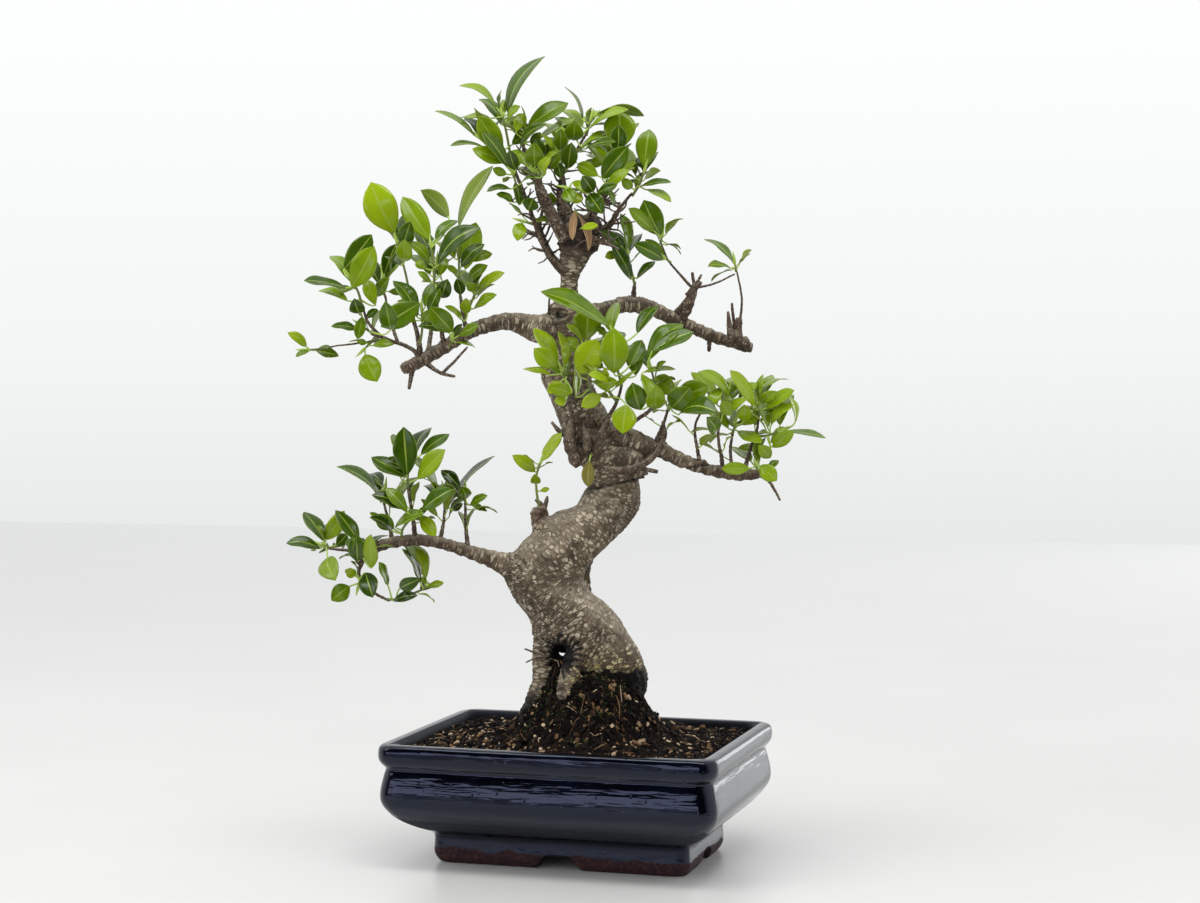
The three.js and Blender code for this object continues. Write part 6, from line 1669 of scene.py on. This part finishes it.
def mound(x, y):
    """Height of the heap above the soil's edge, at a place in the pot's frame."""
    plant_x, plant_y = to_plant(x, y)
    reach = np.hypot(plant_x - MOUND_CENTRE[0], plant_y - MOUND_CENTRE[1]) / MOUND_RADIUS
    return MOUND_HEIGHT / (1 + reach ** MOUND_STEEPNESS)


# %% Shape the heap
deselect()
bpy.ops.mesh.primitive_grid_add(x_subdivisions=SOIL_COLUMNS, y_subdivisions=SOIL_ROWS, size=2)
soil = bpy.context.object
soil.name = soil.data.name = "potting_soil"
half = np.array([POT_LENGTH / 2 - SOIL_INSET, POT_WIDTH / 2 - SOIL_INSET])
flat = points_of(soil.data)[:, :2]
# Each square ring of the grid is drawn in to a ring with round corners
share = np.maximum(np.abs(flat).max(axis=1), 1e-9)[:, None]
edge = flat / share * half
past = np.abs(edge) - (half - SOIL_CORNER)
corner = (past > 0).all(axis=1)
shrink = SOIL_CORNER / np.maximum(np.linalg.norm(past, axis=1), 1e-9)
round_edge = np.sign(edge) * (half - SOIL_CORNER + past * np.minimum(shrink, 1)[:, None])
plan = share * np.where(corner[:, None], round_edge, edge)
height = SOIL_EDGE + mound(plan[:, 0], plan[:, 1])
ground = np.column_stack([plan, height])
print("heap up to", round(float(height.max()), 1), "mm")

# %% Crumbs and strings
slope = rise(mound(plan[:, 0], plan[:, 1]), 3, 14)
bearing = np.arctan2(plan[:, 1] + 3, plan[:, 0] - 7)
strings = np.column_stack([np.cos(bearing) * 9, np.sin(bearing) * 9, height / 16])
relief = waves(ground, 17) * 2.2 + waves(ground, 6, 2) * 1.7 + waves(ground, 2.6, 3) * 1.2
lumps = np.column_stack([plan, height])
relief = relief + slope * (waves(lumps, 8, 6) * 3.2 + waves(lumps, 4, 7) * 1.8)
relief = relief + slope * (waves(strings, 1, 4) * 3.0 + waves(strings * 2.6, 1, 5) * 2.2 - 2.5)
# Earth and fine roots are packed higher in the hollow between the two front roots
plant_x, plant_y = to_plant(plan[:, 0], plan[:, 1])
packed = np.exp(-((plant_x + 15) / 8) ** 2 - ((plant_y + 12) / 14) ** 2) * 15
packed = packed + np.exp(-((plant_x - 26) / 26) ** 2 - ((plant_y + 30) / 10) ** 2) * 6
relief = relief + packed
calm = rise(1 - share[:, 0], 0.0, 0.05)
ground[:, 2] += relief * (0.35 + 0.65 * calm) - 1.5 * (1 - calm)
move_points(soil.data, ground)
print("crumbs up to", round(float(relief.max()), 1), "mm high")

# %% Close the heap inside the pot
bpy.ops.object.mode_set(mode="EDIT")
bpy.ops.mesh.select_all(action="SELECT")
bpy.ops.mesh.region_to_loop()
inset, level = SOIL_INSET, SOIL_EDGE - 2
for new_inset, new_level in SOIL_SKIRT:
    bpy.ops.mesh.extrude_region_move(TRANSFORM_OT_translate={"value": (0, 0, new_level - level)})
    bpy.ops.transform.resize(
        value=((POT_LENGTH - 2 * new_inset) / (POT_LENGTH - 2 * inset),
               (POT_WIDTH - 2 * new_inset) / (POT_WIDTH - 2 * inset), 1),
        center_override=(0, 0, 0),
    )
    inset, level = new_inset, new_level
bpy.ops.transform.resize(value=(1, 1, 0.1), center_override=(0, 0, SOIL_SKIRT[-1][1]))
bpy.ops.mesh.edge_face_add()
bpy.ops.mesh.select_all(action="SELECT")
bpy.ops.mesh.normals_make_consistent(inside=False)
bpy.ops.object.mode_set(mode="OBJECT")
print("soil faces", len(soil.data.polygons))
surface = BVHTree.FromObject(soil, bpy.context.evaluated_depsgraph_get())
wear(soil, soil_finish)
settle(soil, POT_FRAME, ["soil"])

# %% [markdown]
# ### Chips and grit
#
# Composted bark breaks into flat blocks and grit into rough balls. Particles could strew them; here one
# chip and one grain are modelled and copied, each copy laid along the slope under it, with its own size,
# turn and tone. They overlap as real crumbs do, so the heap has no smooth place left.

# %% Ways to lay small things on the soil
lay = random.Random(11)


def ground_at(x, y):
    """The soil's point and slope under a place in the pot's frame."""
    place, normal, _, _ = surface.ray_cast(Vector((x, y, 300)), Vector((0, 0, -1)))
    return place, normal


def random_place(margin=4.0):
    """A place on the soil inside the rim."""
    return lay.uniform(-1, 1) * (half[0] - margin), lay.uniform(-1, 1) * (half[1] - margin)


def round_mound(out, bearing):
    """A place round the middle of the mound, in the pot's frame."""
    return to_pot(MOUND_CENTRE[0] + out * math.cos(bearing), MOUND_CENTRE[1] + out * math.sin(bearing))


def scatter(name, shape, matrices, tones):
    """One piece of many copies of a small shape, each with its own tone."""
    points = points_of(shape.data)
    points = np.hstack([points, np.ones((len(points), 1))])
    places = np.concatenate([(points @ np.array(matrix).T)[:, :3] for matrix in matrices])
    faces = [tuple(face.vertices) for face in shape.data.polygons]
    count = len(points)
    copies = [tuple(k * count + corner for corner in face) for k in range(len(matrices)) for face in faces]
    mesh = bpy.data.meshes.new(name)
    mesh.from_pydata(places.tolist(), [], copies)
    piece = bpy.data.objects.new(name, mesh)
    bpy.context.scene.collection.objects.link(piece)
    note(mesh, "tone", np.repeat(tones, count))
    return piece


def lying(x, y, sizes, sink=0.25, tilt=0.35):
    """A matrix that lays a shape on the soil, turned at random."""
    place, normal = ground_at(x, y)
    if place is None:
        place, normal = Vector((x, y, SOIL_EDGE)), Vector((0, 0, 1))
    wobble = Vector((lay.uniform(-tilt, tilt), lay.uniform(-tilt, tilt), 0))
    stand = (normal + wobble).normalized().to_track_quat("Z", "Y").to_matrix().to_4x4()
    spin = Matrix.Rotation(lay.uniform(0, 6.28), 4, "Z")
    lift = Matrix.Translation(place + normal * sizes[2] * sink)
    return lift @ stand @ spin @ Matrix.Diagonal((*sizes, 1))


# %% One chip and one grain
# A chip of bark: a block with knocked-off edges
deselect()
bpy.ops.mesh.primitive_cube_add(size=1, location=(0, 0, 0))
chip = bpy.context.object
modify(chip, "BEVEL", width=0.18, segments=1)
chip_points = points_of(chip.data)
chip_points *= 1 + 0.22 * waves(chip_points, 0.7)[:, None]
move_points(chip.data, chip_points)

# A crumb of grit: a rough ball
deselect()
bpy.ops.mesh.primitive_ico_sphere_add(subdivisions=1, radius=0.5, location=(0, 0, 0))
grain = bpy.context.object
grain_points = points_of(grain.data)
grain_points *= 1 + 0.3 * waves(grain_points, 0.5, 2)[:, None]
move_points(grain.data, grain_points)
print("faces", len(chip.data.polygons), len(grain.data.polygons))

# %% Strew the chips and the grit
CHIPS = 1500
BALL_CHIPS = 900
GRAINS = 2600
chip_matrices, chip_tones = [], []
for _ in range(CHIPS):
    size = lay.uniform(1.5, 3.2) * (1.6 if lay.random() < 0.12 else 1)
    sizes = (size * lay.uniform(1.1, 2.1), size, size * lay.uniform(0.3, 0.7))
    chip_matrices.append(lying(*random_place(), sizes, 0.2))
    chip_tones.append(min(1.0, lay.random() ** 2.1))
# The root ball is full of dark crumbs that no plan view would count, so it gets its own
for _ in range(BALL_CHIPS):
    bearing = lay.uniform(0, 6.28)
    out = lay.uniform(28, 56)
    place = round_mound(out, bearing)
    size = lay.uniform(1.5, 3.6)
    chip_matrices.append(lying(*place, (size * lay.uniform(1, 2.4), size, size * 0.5), 0.0, 1.2))
    chip_tones.append(lay.random() ** 5 * 0.8)
chips = scatter("bark_chips", chip, chip_matrices, chip_tones)
grain_matrices, grain_tones = [], []
for _ in range(GRAINS):
    size = lay.uniform(0.9, 2.3)
    sizes = (size, size * lay.uniform(0.7, 1), size * lay.uniform(0.6, 0.9))
    grain_matrices.append(lying(*random_place(2), sizes, 0.2))
    grain_tones.append(min(1.0, lay.random() ** 3.0))
grains = scatter("grit", grain, grain_matrices, grain_tones)
for piece in (chips, grains):
    piece.data.materials.append(chip_finish)
    settle(piece, POT_FRAME, smooth=False)
for shape in (chip, grain):
    bpy.data.objects.remove(shape)

# %% [markdown]
# ### Root threads and straws
#
# Fine roots creep out of the root ball over the soil, hang across the hollow between the front roots, and
# pale straws lie about. Curves could draw them; a rolled thread that follows the ground point by point
# stays on the crumbs instead of floating over them.

# %% Root threads and straws
THREADS = 230
HOLLOW_ROOTS = 34
HOLLOW = (-15.5, -6, 160)
HOLLOW_HALF = 10
STRAWS = 46


def thread(start, heading, length, radius, cling, curl):
    """A thread that wanders over the soil from a start, in the pot's frame."""
    steps = max(4, int(length / 3.5))
    place = Vector(start)
    points = []
    for k in range(steps + 1):
        ground_place, normal = ground_at(place.x, place.y)
        lifted = place.copy()
        if ground_place is not None and cling:
            lifted = ground_place + normal * radius * 0.7
        points.append([*lifted, radius * (1 - 0.6 * k / steps)])
        heading = heading + Vector((lay.uniform(-curl, curl), lay.uniform(-curl, curl), 0))
        heading.normalize()
        place = lifted + heading * length / steps
    return roll("thread", limb_rings(smooth_line(points, 3.0), 5))


# %% Lay the threads
threads = []
for _ in range(THREADS):
    bearing = lay.uniform(0, 6.28)
    out = lay.uniform(30, 50)
    x, y = round_mound(out, bearing)
    turned = bearing + PLANT_TURN + lay.uniform(-1.1, 1.1)
    heading = Vector((math.cos(turned), math.sin(turned), 0))
    piece = thread((x, y, 0), heading, lay.uniform(8, 34), lay.uniform(0.25, 0.8), True, 0.75)
    note(piece.data, "tone", np.full(len(piece.data.vertices), lay.random() ** 4 * 0.75))
    threads.append(piece)
print("threads", len(threads))

# %% Roots in the hollow, and straws
# Fine roots and moss hang across the hollow between the roots and leave only specks of light
for _ in range(HOLLOW_ROOTS):
    first, second = lay.uniform(0, 6.28), lay.uniform(0, 6.28)
    points = []
    for k, share in enumerate((0.0, 0.35, 0.7, 1.0)):
        here = first + (second - first) * share
        span = HOLLOW_HALF * (1 if k in (0, 3) else lay.uniform(0.1, 0.8))
        plant_x = HOLLOW[0] + span * math.cos(here)
        plant_y = HOLLOW[1] + lay.uniform(-5, 5)
        points.append([
            *to_pot(plant_x, plant_y), HOLLOW[2] + 1.3 * span * math.sin(here), lay.uniform(0.5, 1.3),
        ])
    piece = roll("thread", limb_rings(smooth_line(points, 2.0), 6))
    note(piece.data, "tone", np.full(len(piece.data.vertices), lay.uniform(0, 0.25)))
    threads.append(piece)
for _ in range(STRAWS):
    x, y = random_place(16)
    heading = Vector((lay.uniform(-1, 1), lay.uniform(-1, 1), 0)).normalized()
    piece = thread((x, y, 0), heading, lay.uniform(5, 18), lay.uniform(0.3, 0.6), True, 0.25)
    note(piece.data, "tone", np.full(len(piece.data.vertices), lay.uniform(0.55, 1)))
    threads.append(piece)
fibres = join(threads, "root_threads")
wear(fibres, chip_finish)
settle(fibres, POT_FRAME)

# %% [markdown]
# ### Moss
#
# Cushions of moss grow where the root ball stays damp. Hair would be too fine to keep, so each sprig is a
# small cone, and a noise decides where a cushion stands.

# %% Moss
MOSS_SPRIGS = 1700
deselect()
bpy.ops.mesh.primitive_cone_add(vertices=4, radius1=0.28, radius2=0, depth=1, location=(0, 0, 0.5))
sprig = bpy.context.object
bpy.ops.object.transform_apply(location=True)
moss_matrices, moss_tones = [], []
while len(moss_matrices) < MOSS_SPRIGS:
    bearing = lay.uniform(0, 6.28)
    out = lay.uniform(26, 66)
    x = MOUND_CENTRE[0] + out * math.cos(bearing)
    y = MOUND_CENTRE[1] + out * math.sin(bearing)
    if noise.noise(Vector((x, y, 3)) / 11) < 0.02 + 0.25 * (out > 50):
        continue
    tall = lay.uniform(1.0, 2.6)
    moss_matrices.append(lying(*to_pot(x, y), (tall * 0.8, tall * 0.8, tall), 0.0, 0.7))
    moss_tones.append(lay.random())
moss = scatter("moss", sprig, moss_matrices, moss_tones)
moss.data.materials.append(moss_finish)
settle(moss, POT_FRAME, smooth=False)
bpy.data.objects.remove(sprig)


# %% [markdown]
# ## Floor, light and camera
#
# A glossy glaze shows the room that it stands in more than its own colour. So the room is planned like
# a product studio: pale walls behind and at the sides, a dark side behind the camera, and long soft
# lamps above that draw the bright lines along the rim and the belly.

# %% Floor
deselect()
bpy.ops.mesh.primitive_plane_add(size=6, location=(0, 0, 0))
floor = bpy.context.object
floor.name = floor.data.name = "pale_floor"
floor.data.materials.append(floor_finish)
print("floor", round(floor.dimensions.x, 1), "m square")

# %% [markdown]
# ### Room light and lamps
#
# Diffuse light comes evenly from all sides, as in a white tent. Only mirror rays see the dark side of the
# room in front of the pot, so that the glaze stays deep. A picture of a room could light it all, but four
# lamps in the places of window, ceiling and walls can each be turned and dimmed.

# %% Room light
world = bpy.data.worlds.new("studio")
bpy.context.scene.world = world
world.use_nodes = True
sky = world.node_tree.nodes["Background"]
toward = add(world, "SeparateXYZ", {"Vector": add(world, "TexCoord").outputs["Generated"]})
far_side = add(world, "MapRange", {"Value": toward.outputs["Y"], "From Min": -0.6, "From Max": -0.1})
dark_side = add(world, "ValToRGB", {"Fac": toward.outputs["Z"]}, [(0.0, "#0b0b0e"), (0.8, "#15161a")])
mirrored = add(world, "Mix", {"Factor": far_side, "A": dark_side, "B": "#f2f3f3"}, data_type="RGBA")
height = add(world, "Math", {0: toward.outputs["Z"], 1: 0.1}, operation="ADD")
wall_tone = add(
    world, "ValToRGB", {"Fac": height}, [(0.0, "#e5e7e6"), (0.1, "#f4f6f5"), (0.24, "#feffff")]
)
rays = add(world, "LightPath")
room = add(
    world, "Mix",
    {"Factor": rays.outputs["Is Glossy Ray"], "A": wall_tone, "B": mirrored},
    data_type="RGBA",
)
connect(world, room, sky.inputs["Color"])
sky.inputs["Strength"].default_value = 1.0
told(world)


# %% Lamps
def lamp(name, size, place, aim, power):
    """A soft rectangular lamp that looks at a point, in metres and watts."""
    light = bpy.data.lights.new(name, "AREA")
    light.shape = "RECTANGLE"
    light.size, light.size_y = size
    light.energy = power
    holder = bpy.data.objects.new(name, light)
    bpy.context.scene.collection.objects.link(holder)
    holder.location = place
    holder.rotation_euler = (Vector(aim) - Vector(place)).to_track_quat("-Z", "Y").to_euler()
    return holder


lamp("ceiling_lamp", (1.7, 0.65), (0.0, -0.4, 1.7), (0, 0, 0.3), 14)
window = lamp("front_window", (2.6, 0.55), (-0.95, -2.85, 0.37), (0, 0, 0.1), 11)
window.data.color = (0.82, 0.82, 1.0)
lamp("left_lamp", (0.9, 1.2), (-1.5, -1.1, 1.4), (0, 0, 0.3), 8)
lamp("back_right_wall", (1.5, 1.6), (1.5, 2.75, 0.55), (0, 0, 0.2), 18)
print("lamps", len(bpy.data.lights))

# %% [markdown]
# ### Camera
#
# The photo was taken from a little above the pot's rim, with a short telephoto lens about two metres away.
# Its place was found by laying known corners of the pot over the photo until they met.

# %% Camera
CAMERA_AZIMUTH = math.radians(17.5)
CAMERA_RISE = math.radians(2.6)
CAMERA_DISTANCE = 1809
CAMERA_TARGET = Vector((18, 0, 316))
CAMERA_ROLL = math.radians(-0.34)
FOCAL_LENGTH = 70.14
away = Vector((
    math.sin(CAMERA_AZIMUTH) * math.cos(CAMERA_RISE),
    -math.cos(CAMERA_AZIMUTH) * math.cos(CAMERA_RISE),
    math.sin(CAMERA_RISE),
))
lens = bpy.data.cameras.new("camera")
lens.lens = FOCAL_LENGTH
lens.sensor_width = 36
camera = bpy.data.objects.new("camera", lens)
bpy.context.scene.collection.objects.link(camera)
camera.location = POT_FRAME @ (CAMERA_TARGET + CAMERA_DISTANCE * away)
turn = away.to_track_quat("Z", "Y") @ Quaternion((0, 0, 1), CAMERA_ROLL)
camera.rotation_euler = turn.to_euler()
lens.clip_end = 50
bpy.context.scene.camera = camera
bpy.context.scene.view_settings.view_transform = "Standard"
print("camera at", tuple(round(value, 3) for value in camera.location))
